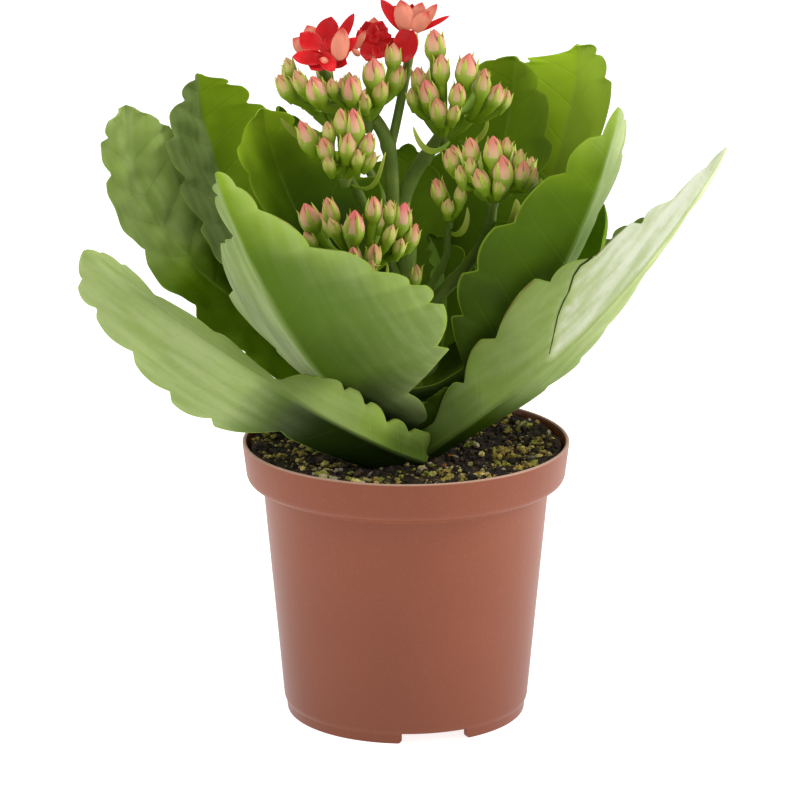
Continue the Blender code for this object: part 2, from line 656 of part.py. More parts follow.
# Each bract: four points that it runs through, and its half width.
BRACTS = {
    "bract_top_left": ([(-25, 3, 184), (-31, 3, 186), (-36, 2, 190), (-40, 1, 195)], 1.5),
    "bract_top_right": ([(14, 0, 183), (8, -3, 184), (4, -5, 188), (2, -6, 194)], 1.1),
    "bract_top_right_small": ([(17, 3, 184), (22, 2, 187), (25, 2, 191), (25, 2, 195)], 1.1),
    "bract_right": ([(31, -11, 162), (37, -12, 166), (41, -13, 173), (42, -14, 180)], 2.2),
    "bract_right_front": ([(28, -13, 158), (31, -18, 163), (33, -22, 169), (33, -24, 175)], 1.8),
    "bract_right_low": ([(16, -9, 158), (18, -12, 161), (19, -13, 165), (19, -14, 169)], 1.2),
    "bract_front": ([(-10, -25, 143), (-7, -28, 146), (-6, -29, 150), (-6, -29, 155)], 1.1),
    "bract_mid_left": ([(-14, -9, 172), (-10, -10, 175), (-8, -11, 180), (-6, -11, 186)], 0.9),
}


def build_bract(name, points, half):
    path = [along_curve(points, share) for share in (0.0, 0.25, 0.55, 0.82, 1.0)]
    rings = []
    for width, (point, frame) in zip((0.45, 0.9, 1.0, 0.6), zip(path, frames_along(path))):
        direction = frame[0]
        across = direction.cross(Vector((0, -1, 0))).normalized()
        normal = across.cross(direction).normalized()
        rings.append([point + across * half * width, point + normal * 0.5,
                      point - across * half * width, point - normal * 0.5])
    rings.append([path[-1]])
    bm = bmesh.new()
    ring_mesh(bm, rings)
    return make_object(name, bm, stalk_skin, 50.0)


# The whole plant

plastic = make_material("pot_plastic", POT_RED, 0.45)
peat = make_material("soil", SOIL_BROWN, 0.95)
leaf_skin = make_material("leaf", LEAF_GREEN, 0.4)
stalk_skin = make_material("stalk", STALK_GREEN, 0.5)
bud_skin = make_material("bud", BUD_SALMON, 0.5)
petal_skin = make_material("petal", PETAL_RED, 0.5)

build_pot()
build_soil()
for leaf_name, leaf_spec in LEAVES.items():
    build_leaf(leaf_name, leaf_spec)
for stem_name, (stem_points, first, last) in STEMS.items():
    build_stem(stem_name, stem_points, first, last)
for head_name, head_spec in HEADS.items():
    build_head(head_name, head_spec)
for flower_name, flower_spec in FLOWERS.items():
    build_flower(flower_name, flower_spec)
for bract_name, (bract_points, bract_half) in BRACTS.items():
    build_bract(bract_name, bract_points, bract_half)
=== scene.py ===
import math
import random

import bpy
import bmesh
from mathutils import Matrix, Vector, noise


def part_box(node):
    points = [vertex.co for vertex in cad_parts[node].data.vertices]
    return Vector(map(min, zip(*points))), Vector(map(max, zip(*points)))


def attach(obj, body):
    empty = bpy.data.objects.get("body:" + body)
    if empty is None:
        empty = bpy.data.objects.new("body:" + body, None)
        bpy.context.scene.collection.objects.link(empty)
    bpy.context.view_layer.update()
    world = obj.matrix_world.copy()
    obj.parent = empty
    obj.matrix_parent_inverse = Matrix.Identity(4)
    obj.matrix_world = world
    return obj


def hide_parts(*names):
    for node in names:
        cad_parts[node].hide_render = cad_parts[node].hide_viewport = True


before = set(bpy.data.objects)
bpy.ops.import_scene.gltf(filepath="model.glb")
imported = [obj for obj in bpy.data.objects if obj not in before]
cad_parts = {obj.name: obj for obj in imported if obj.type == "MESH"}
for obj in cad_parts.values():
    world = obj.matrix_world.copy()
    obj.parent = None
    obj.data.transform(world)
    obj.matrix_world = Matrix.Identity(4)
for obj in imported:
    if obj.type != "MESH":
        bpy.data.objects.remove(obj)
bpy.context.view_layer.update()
mm = 0.001
upward = Vector((0, 0, 1))


# small sums that several pieces share

def easeInOut(value):
    value = min(1.0, max(0.0, value))
    return value * value * (3 - 2 * value)


def blendTo(low, high, share):
    return low + (high - low) * share


def easedStops(stops, t):  # eased value between (place, value) stops
    if t <= stops[0][0]:
        return stops[0][1]
    for (t0, low), (t1, high) in zip(stops, stops[1:]):
        if t <= t1:
            return blendTo(low, high, easeInOut((t - t0) / (t1 - t0)))
    return stops[-1][1]


def curveThrough(points, t):  # the cubic that runs through four evenly spaced points
    total = Vector((0, 0, 0))
    for i, point in enumerate(points):
        weight = 1.0
        for j in range(4):
            if j != i:
                weight *= (3 * t - j) / (i - j)
        total += weight * Vector(point)
    return total


def planDirection(bearing):  # 0 to the front, 90 to the right
    turn = math.radians(bearing)
    return Vector((math.sin(turn), -math.cos(turn), 0))


def steadyFrames(path):  # direction and two sides at each point, without twist
    directions = []
    for i in range(len(path)):
        ahead = path[min(i + 1, len(path) - 1)]
        behind = path[max(i - 1, 0)]
        directions.append((ahead - behind).normalized())
    side = directions[0].orthogonal().normalized()
    frames = []
    for direction in directions:
        side = (side - side.dot(direction) * direction).normalized()
        frames.append((direction, side, direction.cross(side)))
    return frames


def around(side, other, angle):  # the way out at an angle, between two sides
    return side * math.cos(angle) + other * math.sin(angle)


def addObject(name, data):
    thing = bpy.data.objects.new(name, data)
    bpy.context.scene.collection.objects.link(thing)
    return thing


class Sculpt:
    # gathers the points and faces of one piece, and the paint that each point carries

    def __init__(self):
        self.points = []
        self.faces = []
        self.kinds = []
        self.paint = []
        self.tone = []
        self.lie = []

    def point(self, place, paint=(0, 0, 0), tone=(0, 0, 0), lie=(0, 0, 0)):
        self.points.append(place * mm)
        self.paint.append(paint)
        self.tone.append(tone)
        self.lie.append(lie)
        return len(self.points) - 1

    def face(self, corners, kind=0):
        self.faces.append(corners)
        self.kinds.append(kind)

    def skin(self, low, high, kind=0):  # joins two closed rings, or a ring and one point
        count = max(len(low), len(high))
        for k in range(count):
            after = (k + 1) % count
            if len(high) == 1:
                self.face((low[k], low[after], high[0]), kind)
            elif len(low) == 1:
                self.face((low[0], high[after], high[k]), kind)
            else:
                self.face((low[k], low[after], high[after], high[k]), kind)

    def rod(self, path, radii, sides, kind=0, tone=(0, 0, 0), paintTo=1.0):
        rings = []
        for i, (place, radius, (_, side, other)) in enumerate(zip(path, radii, steadyFrames(path))):
            along = i / (len(path) - 1)
            ring = []
            for k in range(sides):
                out = around(side, other, 2 * math.pi * k / sides)
                ring.append(self.point(place + out * radius, (k / sides, along * paintTo, 0), tone))
            rings.append(ring)
        for low, high in zip(rings, rings[1:]):
            self.skin(low, high, kind)
        self.face(tuple(reversed(rings[0])), kind)
        self.face(tuple(rings[-1]), kind)
        return rings

    def finish(self, name, finishes, sharpAngle=60):
        mesh = bpy.data.meshes.new(name)
        mesh.from_pydata(self.points, [], self.faces)
        for finish in finishes:
            mesh.materials.append(finish)
        mesh.polygons.foreach_set("material_index", self.kinds)
        for label, values in (("paint", self.paint), ("tone", self.tone), ("lie", self.lie)):
            layer = mesh.attributes.new(label, "FLOAT_VECTOR", "POINT")
            layer.data.foreach_set("vector", [number for value in values for number in value])
        mesh.validate()
        mesh.shade_smooth()
        mesh.set_sharp_from_angle(angle=math.radians(sharpAngle))
        return addObject(name, mesh)


def standFor(piece, node):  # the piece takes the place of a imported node
    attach(piece, "root")
    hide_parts(node)


# finishes, each a small node tree

class Finish:
    def __init__(self, name):
        self.material = bpy.data.materials.new(name)
        self.material.use_nodes = True
        self.nodes = self.material.node_tree.nodes
        self.links = self.material.node_tree.links
        self.shader = self.nodes["Principled BSDF"]

    def put(self, socket, value):  # a link for a socket, else a plain value
        if isinstance(value, bpy.types.NodeSocket):
            self.links.new(value, socket)
        elif isinstance(value, (tuple, list)) and len(socket.default_value) == 4:
            socket.default_value = (*value, 1)[:4]
        else:
            socket.default_value = value

    def set(self, label, value):
        self.put(self.shader.inputs[label], value)

    def sum(self, operation, first, second=0.0):
        node = self.nodes.new("ShaderNodeMath")
        node.operation = operation
        self.put(node.inputs[0], first)
        self.put(node.inputs[1], second)
        return node.outputs[0]

    def times(self, first, second):
        return self.sum("MULTIPLY", first, second)

    def plus(self, first, second):
        return self.sum("ADD", first, second)

    def mix(self, share, first, second):
        node = self.nodes.new("ShaderNodeMix")
        node.data_type = "RGBA"
        self.put(node.inputs[0], share)
        self.put(node.inputs[6], first)
        self.put(node.inputs[7], second)
        return node.outputs[2]

    def ramp(self, value, low, high, lowest=0.0, highest=1.0):  # eased step between two values
        node = self.nodes.new("ShaderNodeMapRange")
        node.interpolation_type = "SMOOTHSTEP"
        self.put(node.inputs[0], value)
        self.put(node.inputs[1], low)
        self.put(node.inputs[2], high)
        self.put(node.inputs[3], lowest)
        self.put(node.inputs[4], highest)
        return node.outputs[0]

    def parts(self, vector):
        split = self.nodes.new("ShaderNodeSeparateXYZ")
        self.links.new(vector, split.inputs[0])
        return split.outputs[0], split.outputs[1], split.outputs[2]

    def painted(self, label):  # the three numbers that a point carries
        node = self.nodes.new("ShaderNodeAttribute")
        node.attribute_name = label
        return self.parts(node.outputs["Vector"])

    def place(self):
        node = self.nodes.new("ShaderNodeTexCoord")
        return node.outputs["Object"]

    def join(self, x, y, z):
        node = self.nodes.new("ShaderNodeCombineXYZ")
        for socket, value in zip(node.inputs, (x, y, z)):
            self.put(socket, value)
        return node.outputs[0]

    def speckle(self, where, scale, detail=3.0, roughness=0.5):
        node = self.nodes.new("ShaderNodeTexNoise")
        self.put(node.inputs["Vector"], where)
        self.put(node.inputs["Scale"], scale)
        self.put(node.inputs["Detail"], detail)
        self.put(node.inputs["Roughness"], roughness)
        return node.outputs[0]

    def cells(self, where, scale):
        node = self.nodes.new("ShaderNodeTexVoronoi")
        self.put(node.inputs["Vector"], where)
        self.put(node.inputs["Scale"], scale)
        return node.outputs["Distance"]

    def bump(self, height, strength, depth):
        node = self.nodes.new("ShaderNodeBump")
        self.put(node.inputs["Height"], height)
        self.put(node.inputs["Strength"], strength)
        self.put(node.inputs["Distance"], depth)
        self.links.new(node.outputs[0], self.shader.inputs["Normal"])

    def gloss(self, pattern, smooth, rough, shine):  # roughness wanders with a pattern
        self.set("Roughness", self.ramp(pattern, 0.3, 0.7, smooth, rough))
        self.set("Specular IOR Level", shine)

    def tissue(self, weight, colours, depth=0.001):  # light passes a little way into the plant
        self.set("Subsurface Weight", weight)
        self.set("Subsurface Radius", colours)
        self.set("Subsurface Scale", depth)


leafColours = dict(  # pale bloom colours hold painted sheen, the reflection of the white surround, as well as dust: bloom where thin, frost where thick
    # the first four greens are painted light levels, from painted shade through the middle to lit and
    # brightly lit
    shade=(0.012, 0.024, 0.002), deep=(0.062, 0.122, 0.0008), litGreen=(0.270, 0.420, 0.014),
    brightLitGreen=(0.420, 0.620, 0.030), bloom=(0.460, 0.545, 0.250), frostAndSheen=(0.780, 0.810, 0.640),
    rim=(0.260, 0.390, 0.030), blush=(0.160, 0.055, 0.020), vein=(0.270, 0.380, 0.080))


# paint is (across, along) the blade; tone is painted light (-1 shaded to 1 lit), bloom with its painted
# sheen, and blush; lie is a place on the blade as (off the midrib, out from its foot) and a number of the
# leaf's own
def makeLeafFinish():
    f = Finish("leafSkin")
    across, along, _ = f.painted("paint")
    light, bloom, blush = f.painted("tone")
    off, out, seed = f.painted("lie")
    where = f.place()
    cloud = f.speckle(where, 60, 3)
    fine = f.speckle(where, 520, 2)
    edge = f.sum("ABSOLUTE", across)
    patch = f.times(f.sum("SUBTRACT", cloud, 0.5), 0.5)
    # painted light and shade: the tone's light, with a little random patchiness, picks greens from painted
    # shade through lit to brightly lit
    level = f.plus(light, patch)
    green = f.mix(f.ramp(level, -1.0, 0.0), leafColours["shade"], leafColours["deep"])
    green = f.mix(f.ramp(level, -0.05, 1.0), green, leafColours["litGreen"])
    green = f.mix(f.ramp(level, 0.9, 2.0), green, leafColours["brightLitGreen"])
    # side veins leave the midrib and run forward; the midrib is a paler line
    slant = f.sum("SUBTRACT", f.times(out, 0.09), f.times(f.sum("ABSOLUTE", off), 0.06))
    wave = f.sum("PINGPONG", slant, 0.5)
    sideVein = f.times(f.ramp(wave, 0.0, 0.06, 1.0, 0.0), f.ramp(edge, 0.6, 0.95, 1.0, 0.0))
    offRib = f.ramp(f.sum("ABSOLUTE", off), 0.2, 1.0, 1.0, 0.0)
    midVein = f.times(offRib, f.ramp(along, 0.5, 0.95, 1.0, 0.2))
    green = f.mix(f.times(sideVein, 0.02), green, leafColours["vein"])
    green = f.mix(f.times(midVein, 0.12), green, leafColours["vein"])
    # bloom, together with its painted sheen of the white surround, lies in long soft streaks
    streakPlace = f.join(f.times(off, 0.16), f.times(out, 0.022), seed)
    streak = f.speckle(streakPlace, 2.2, 2, 0.45)
    dustAndSheen = f.plus(f.times(streak, 0.85), f.times(fine, 0.15))
    pale = f.times(bloom, f.ramp(dustAndSheen, 0.30, 0.70, 0.72, 1.18))
    skin = f.mix(pale, green, leafColours["bloom"])
    skin = f.mix(f.ramp(pale, 0.85, 2.0), skin, leafColours["frostAndSheen"])
    rim = f.times(f.ramp(edge, 0.965, 0.998), 0.55)
    skin = f.mix(rim, skin, leafColours["rim"])
    red = f.times(f.ramp(edge, 0.95, 0.99), f.ramp(f.plus(cloud, blush), 0.95, 1.1))
    skin = f.mix(f.times(red, 0.7), skin, leafColours["blush"])
    f.set("Base Color", skin)
    f.gloss(cloud, 0.42, 0.54, 0.05)
    f.tissue(0.08, (0.6, 1.0, 0.15))
    relief = f.plus(f.times(cloud, 0.5), f.times(sideVein, -0.25))
    relief = f.plus(relief, f.times(streak, 0.35))
    relief = f.plus(relief, f.times(fine, 0.08))
    f.bump(relief, 0.5, 0.0006)
    return f.material


def makeStalkFinish():
    f = Finish("stalkSkin")
    light, _, _ = f.painted("tone")
    where = f.place()
    cloud = f.speckle(where, 90, 3)
    skin = f.mix(f.ramp(f.plus(cloud, light), 0.3, 0.8), (0.085, 0.145, 0.006), (0.190, 0.280, 0.035))
    skin = f.mix(f.times(f.speckle(where, 600, 2), 0.14), skin, (0.300, 0.380, 0.160))
    f.set("Base Color", skin)
    f.gloss(cloud, 0.40, 0.55, 0.25)
    f.tissue(0.10, (0.5, 1.0, 0.2))
    f.bump(cloud, 0.4, 0.0003)
    return f.material


def makeCalyxFinish():  # green cup and sepals under each bud, yellower to the tip
    f = Finish("calyxSkin")
    _, along, _ = f.painted("paint")
    light, _, _ = f.painted("tone")
    cloud = f.speckle(f.place(), 220, 2)
    skin = f.mix(f.ramp(along, 0.0, 1.0), (0.165, 0.285, 0.003), (0.520, 0.560, 0.085))
    skin = f.mix(f.times(f.ramp(cloud, 0.3, 0.7), 0.30), skin, (0.250, 0.380, 0.020))
    skin = f.mix(f.ramp(f.plus(along, light), 0.98, 1.2, 0.0, 0.5), skin, (0.420, 0.210, 0.090))
    f.set("Base Color", skin)
    f.gloss(cloud, 0.38, 0.50, 0.3)
    f.tissue(0.15, (0.6, 1.0, 0.15))
    f.bump(cloud, 0.3, 0.0002)
    return f.material


def makeBudFinish():  # green-cream at the foot, salmon to rose at the top, dark red seams
    f = Finish("budSkin")
    turn, along, ripe = f.painted("paint")
    cloud = f.speckle(f.place(), 260, 3)
    foot = f.mix(ripe, (0.400, 0.460, 0.070), (0.600, 0.500, 0.200))
    body = f.mix(ripe, (0.520, 0.470, 0.140), (0.740, 0.350, 0.250))
    crown = f.mix(ripe, (0.500, 0.330, 0.120), (0.660, 0.135, 0.130))
    skin = f.mix(f.ramp(f.plus(along, f.times(cloud, 0.25)), 0.30, 0.75), foot, body)
    skin = f.mix(f.ramp(f.plus(along, f.times(cloud, 0.2)), 0.60, 1.05), skin, crown)
    seam = f.sum("PINGPONG", f.plus(f.times(turn, 4.0), f.times(along, 0.9)), 0.5)
    line = f.times(f.ramp(seam, 0.0, 0.13, 1.0, 0.0), f.ramp(along, 0.30, 0.60))
    skin = f.mix(f.times(line, 0.85), skin, (0.330, 0.030, 0.030))
    f.set("Base Color", skin)
    f.gloss(cloud, 0.40, 0.52, 0.3)
    f.tissue(0.20, (1.0, 0.5, 0.3))
    f.bump(f.sum("SUBTRACT", cloud, line), 0.4, 0.0002)
    return f.material


def makePetalFinish():  # red face, salmon back with fine veins
    f = Finish("petalSkin")
    across, along, face = f.painted("paint")
    light, _, _ = f.painted("tone")
    cloud = f.speckle(f.place(), 180, 3)
    streaked = f.join(f.times(across, 14.0), f.times(along, 1.2), light)
    veins = f.speckle(streaked, 1.6, 3, 0.6)
    front = f.mix(f.ramp(f.plus(cloud, light), 0.3, 0.8), (0.540, 0.001, 0.004), (0.840, 0.004, 0.009))
    back = f.mix(f.ramp(veins, 0.35, 0.7), (0.800, 0.310, 0.190), (0.740, 0.190, 0.125))
    back = f.mix(f.ramp(along, 0.72, 1.0), back, (0.600, 0.070, 0.050))
    skin = f.mix(f.ramp(face, 0.35, 0.65), back, front)
    f.set("Base Color", skin)
    f.gloss(veins, 0.34, 0.48, 0.3)
    f.tissue(0.12, (1.0, 0.15, 0.1), 0.0008)
    f.bump(veins, 0.35, 0.0002)
    return f.material


def makePlasticFinish():  # moulded terracotta-coloured plastic, a little dusty, with painted shade towards the foot and a painted highlight along the rim lip
    f = Finish("potPlastic")
    where = f.place()
    cloud = f.speckle(where, 16, 4)
    fine = f.speckle(where, 900, 2)
    _, _, height = f.parts(where)
    skin = f.mix(f.ramp(cloud, 0.3, 0.72), (0.215, 0.056, 0.023), (0.245, 0.067, 0.029))
    skin = f.mix(f.times(f.ramp(fine, 0.5, 0.75), 0.05), skin, (0.450, 0.230, 0.160))
    # painted shade: darker towards the foot
    skin = f.mix(f.ramp(height, 0.0, 0.070, 0.50, 0.0), skin, (0.140, 0.033, 0.014))
    # painted highlight along the top of the rim lip
    skin = f.mix(f.ramp(height, 0.0892, 0.0899, 0.0, 0.75), skin, (0.600, 0.400, 0.300))
    f.set("Base Color", skin)
    f.gloss(cloud, 0.36, 0.44, 0.28)
    f.bump(f.plus(fine, f.times(cloud, 0.5)), 0.12, 0.0003)
    return f.material


def makeSoilFinish():
    f = Finish("pottingSoil")
    where = f.place()
    lump = f.speckle(where, 260, 5, 0.65)
    grain = f.cells(where, 900)
    skin = f.mix(f.ramp(lump, 0.35, 0.7), (0.010, 0.007, 0.005), (0.055, 0.036, 0.020))
    skin = f.mix(f.ramp(f.speckle(where, 700, 2), 0.66, 0.74), skin, (0.210, 0.160, 0.050))
    f.set("Base Color", skin)
    f.set("Roughness", 0.92)
    f.set("Specular IOR Level", 0.25)
    f.bump(f.plus(lump, f.times(grain, 0.6)), 0.9, 0.0010)
    return f.material


def makeCrumbFinish():  # each crumb carries its own colour
    f = Finish("soilCrumbs")
    carried = f.nodes.new("ShaderNodeAttribute")
    carried.attribute_name = "paint"
    own = carried.outputs["Color"]
    grit = f.speckle(f.place(), 1100, 3)
    skin = f.mix(f.ramp(grit, 0.3, 0.75), f.mix(0.45, own, (0.03, 0.02, 0.01)), own)
    f.set("Base Color", skin)
    f.set("Roughness", 0.88)
    f.set("Specular IOR Level", 0.3)
    f.bump(grit, 0.6, 0.0004)
    return f.material


leafSkin = makeLeafFinish()
stalkSkin = makeStalkFinish()
calyxSkin = makeCalyxFinish()
budSkin = makeBudFinish()
petalSkin = makePetalFinish()
potPlastic = makePlasticFinish()
soilMix = makeSoilFinish()
crumbMix = makeCrumbFinish()
print("finishes mixed")


# pot

potSizes = dict(
    rimRadius=52.5, rimHeight=90.0, bandHeight=13.5, bandStep=5.2, baseRadius=39.4, wall=1.2,
    footHeight=3.6, footWidth=1.8, gapAngle=32.0, firstGap=14.0, gaps=3,
    drainRadius=3.6, drainCircle=27.0, drains=6, sides=180, sharpAngle=35)


def roundedProfile(corners, steps=4):  # corners are (radius, height, how much to round)
    outline = []
    count = len(corners)
    for i, (radius, height, rounding) in enumerate(corners):
        here = Vector((radius, height))
        if rounding == 0:
            outline.append(here)
            continue
        before = Vector(corners[i - 1][:2]) - here
        after = Vector(corners[(i + 1) % count][:2]) - here
        start = here + before.normalized() * min(rounding, before.length * 0.49)
        end = here + after.normalized() * min(rounding, after.length * 0.49)
        for k in range(steps + 1):
            share = k / steps
            outline.append((1 - share) ** 2 * start + 2 * share * (1 - share) * here + share ** 2 * end)
    return outline


def wedge(angle, near, far, half, low, high):  # cuts one foot gap, wider where it meets the floor
    out = planDirection(angle)
    across = planDirection(angle + 90)
    slope = math.tan(math.radians(half))
    block = Sculpt()
    rings = []
    for height, flare in ((low, 2.2), (0.0, 1.2), (0.5, 0.5), (1.2, 0.0), (high, 0.0)):
        ring = []
        for reach, hand in ((near, -1), (far, -1), (far, 1), (near, 1)):
            ring.append(block.point(out * reach + across * hand * (reach * slope + flare) + upward * height))
        rings.append(ring)
    for ring, above in zip(rings, rings[1:]):
        block.skin(ring, above)
    block.face(tuple(reversed(rings[0])))
    block.face(tuple(rings[-1]))
    return block.finish("gapBlock", [potPlastic])


def makePot(size):
    wall = size["wall"]
    rim, top = size["rimRadius"], size["rimHeight"]
    base, step = size["baseRadius"], size["footHeight"]
    bandLow = top - size["bandHeight"]
    bodyTop = rim - size["bandStep"] - 1.4
    bandFoot = rim - 1.2
    footOut = base - 0.7
    footIn = footOut - size["footWidth"]
    floorTop = step + wall
    outside = [
        (footOut - 0.3, 0, 0.5), (footOut, step - 0.5, 0.3), (base, step + 0.9, 0.8),
        (bodyTop, bandLow - 0.4, 1.2), (bandFoot - 2.4, bandLow + 0.1, 1.0),
        (bandFoot - 0.3, bandLow + 1.5, 1.6), (rim - 0.1, top - 0.2, 0.6), (rim - 1.3, top - 0.1, 0.5)]
    inside = [
        (bandFoot - wall, bandLow + 3.2, 1.0), (bandFoot - wall - 1.4, bandLow + wall + 0.2, 0.6),
        (bodyTop - wall, bandLow + wall - 0.4, 0.5), (base - wall, floorTop + 0.6, 0.8),
        (base - wall - 1, floorTop, 0.5), (0, floorTop, 0)]
    underside = [(0, step, 0), (footIn, step, 0.3), (footIn, 0, 0.5)]
    outline = roundedProfile(outside + inside + underside)
    body = Sculpt()
    rows = []
    hub = {}
    for k in range(size["sides"]):
        out = planDirection(-360 * k / size["sides"])
        row = []
        for i, (radius, height) in enumerate(outline):
            if radius == 0:
                if i not in hub:
                    hub[i] = body.point(upward * height)
                row.append(hub[i])
            else:
                row.append(body.point(out * radius + upward * height))
        rows.append(row)
    for k in range(size["sides"]):
        here, there = rows[k], rows[(k + 1) % size["sides"]]
        for i in range(len(outline)):
            j = (i + 1) % len(outline)
            corners = []
            for corner in (here[i], here[j], there[j], there[i]):
                if corner not in corners:
                    corners.append(corner)
            if len(corners) > 2:
                body.face(tuple(corners))
    pot = body.finish("pot_shell", [potPlastic], size["sharpAngle"])
    blocks = []
    for k in range(size["gaps"]):
        angle = size["firstGap"] + 360 * k / size["gaps"]
        blocks.append(wedge(angle, base - 8, base + 3, size["gapAngle"] / 2, -1, step - 0.1))
    for k in range(size["drains"]):
        centre = planDirection(30 + 360 * k / size["drains"]) * size["drainCircle"]
        block = Sculpt()
        path = [centre + upward * (step - 1), centre + upward * (floorTop + 1)]
        block.rod(path, [size["drainRadius"]] * 2, 24)
        blocks.append(block.finish("drainBlock", [potPlastic]))
    for block in blocks:
        cut = pot.modifiers.new("cut", "BOOLEAN")
        cut.operation = "DIFFERENCE"
        cut.object = block
        cut.solver = "EXACT"
    seen = bpy.context.evaluated_depsgraph_get()
    cutMesh = bpy.data.meshes.new_from_object(pot.evaluated_get(seen))
    pot.modifiers.clear()
    pot.data = cutMesh
    cutMesh.shade_smooth()
    cutMesh.set_sharp_from_angle(angle=math.radians(size["sharpAngle"]))
    for block in blocks:
        bpy.data.objects.remove(block, do_unlink=True)
    standFor(pot, "pot")
    return pot


makePot(potSizes)
print("pot turned")


# soil

soilSizes = dict(
    level=86.0, radius=49.6, lumps=1.5, rings=64, spokes=220, crumbs=1500, clusters=95, seed=7,
    skirt=dict(foot=37.2, low=38.6, body=44.9, ledge=46.5, band=49.0), grains=(0.3, 0.4, 0.55, 0.75, 1.05),
    colours=[(0.010, 0.007, 0.005), (0.026, 0.016, 0.009), (0.070, 0.044, 0.022), (0.400, 0.300, 0.060),
             (0.560, 0.460, 0.150), (0.330, 0.330, 0.045), (0.480, 0.420, 0.270), (0.360, 0.140, 0.030)],
    shares=[32, 26, 14, 7, 6, 4, 5, 2])


def soilHeight(x, y, size):
    where = Vector((x, y, 0)) * 0.11
    lump = noise.fractal(where, 1.0, 2.2, 4)
    fine = noise.noise(Vector((x, y, 3)) * 0.55)
    reach = math.hypot(x, y) / size["radius"]
    bank = 2.2 * easeInOut((reach - 0.72) / 0.28)  # the mix stands a little higher along the wall
    return size["level"] + size["lumps"] * 0.7 * lump + 0.45 * fine + bank


def makeSoil(size):
    bed = Sculpt()
    rings = []
    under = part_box("soil")[0][2] / mm
    bandLow = potSizes["rimHeight"] - potSizes["bandHeight"]
    skirt = size["skirt"]
    sideRings = [
        (skirt["foot"], under), (skirt["low"], under + 1.5), (skirt["body"], bandLow - 1),
        (skirt["body"], bandLow + 1.2), (skirt["ledge"], bandLow + 2.2), (skirt["band"], bandLow + 5)]
    spokes = [planDirection(360 * k / size["spokes"]) for k in range(size["spokes"])]
    for radius, height in sideRings:
        rings.append([bed.point(spoke * radius + upward * height) for spoke in spokes])
    for i in range(size["rings"]):
        reach = size["radius"] * (1 - i / size["rings"])
        ring = []
        for spoke in spokes:
            out = spoke * reach
            ring.append(bed.point(out + upward * soilHeight(out.x, out.y, size)))
        rings.append(ring)
    rings.append([bed.point(upward * soilHeight(0, 0, size))])
    for low, high in zip(rings, rings[1:]):
        bed.skin(low, high)
    bed.face(tuple(reversed(rings[0])))
    soil = bed.finish("soil_bed", [soilMix], 180)
    standFor(soil, "soil")
    return soil


def crumbShape():  # corners and faces of one small rough grain
    grain = bmesh.new()
    bmesh.ops.create_icosphere(grain, subdivisions=2, radius=1.0)
    grain.verts.index_update()
    corners = [v.co.copy() for v in grain.verts]
    faces = [tuple(v.index for v in f.verts) for f in grain.faces]
    grain.free()
    return corners, faces


def makeCrumbs(size):
    chance = random.Random(size["seed"])
    corners, faces = crumbShape()
    heap = Sculpt()
    spots = []
    for _ in range(size["crumbs"]):
        reach = (size["radius"] - 1.2) * math.sqrt(chance.uniform(0.02, 1.0))
        spots.append((planDirection(chance.uniform(0, 360)) * reach, None, 1.0))
    for _ in range(size["clusters"]):  # yellow and green flecks that sit together
        reach = (size["radius"] - 1.5) * chance.uniform(0.25, 1.0) ** 0.4
        middle = planDirection(chance.uniform(0, 360)) * reach
        kind = chance.choices((3, 4, 5), (5, 4, 3))[0]
        spread = chance.uniform(0.7, 1.9)
        for _ in range(chance.randint(5, 16)):
            spots.append((middle + Vector((chance.gauss(0, spread), chance.gauss(0, spread), 0)), kind, 0.9))
    for out, kind, scale in spots:
        if kind is None:
            kind = chance.choices(range(len(size["colours"])), size["shares"])[0]
        radius = scale * chance.choice(size["grains"]) * chance.uniform(0.8, 1.25)
        if math.hypot(out.x, out.y) + radius > size["radius"]:
            continue
        squash = Vector((chance.uniform(0.7, 1.3), chance.uniform(0.7, 1.3), chance.uniform(0.5, 0.9)))
        spin = Matrix.Rotation(chance.uniform(0, 6.28), 3, "Z")
        turn = spin @ Matrix.Rotation(chance.uniform(-0.6, 0.6), 3, "X")
        tint = chance.uniform(0.65, 1.3)
        colour = tuple(c * tint * chance.uniform(0.95, 1.05) for c in size["colours"][kind])
        centre = out + upward * (soilHeight(out.x, out.y, size) + radius * 0.3)
        start = len(heap.points)
        for corner in corners:
            rough = 1 + 0.75 * noise.noise(corner * 1.7 + centre * 3)
            shaped = turn @ Vector(a * b for a, b in zip(corner, squash))
            heap.point(centre + shaped * radius * rough, colour)
        for face in faces:
            heap.face(tuple(start + k for k in face))
    crumbs = heap.finish("soil_crumbs", [crumbMix], 25)
    standFor(crumbs, "soil")
    return crumbs


makeSoil(soilSizes)
makeCrumbs(soilSizes)
print("soil filled in")


# leaves

# Each leaf: rib, four points that its midrib runs through; roll about the midrib at foot and tip; and
# half blades on the left and right hand, seen along the leaf from its foot. The foot may have sag (how
# far it is drawn down), startAt and riseAt (where along the rib the leaf and its widening start).
# A half: teeth as (share of length, half width, and if it differs, the notch behind); notch, the
# depth behind each tooth; stalk, half width at the foot; fold, its angle up from flat; curl, how much
# more it bends to the margin; pucker, swelling between the veins; light, which is painted light and
# shade, bloom, which is pale dust with a painted sheen of the white surround, and blush for its finish,
# and edge, what the margin adds to light and bloom. What both halves share stands in the leaf.
# A step lifts the outer blade of the right half over its inner lobe, along a line from the midrib
# (inner) to the margin (outer), and paints that blade lighter and paler with its light and bloom.

def scallops(widths, places=(.34, .47, .60, .73, .85, .94)):
    return list(zip(places, widths))


usualWidths = (21, 25, 25, 21, 14, 7)


def resized(share):
    return scallops([width * share for width in usualWidths])


def bothHalves(share, fold=20):
    return dict(left=dict(teeth=resized(share), fold=fold), right=dict(teeth=resized(share), fold=fold))


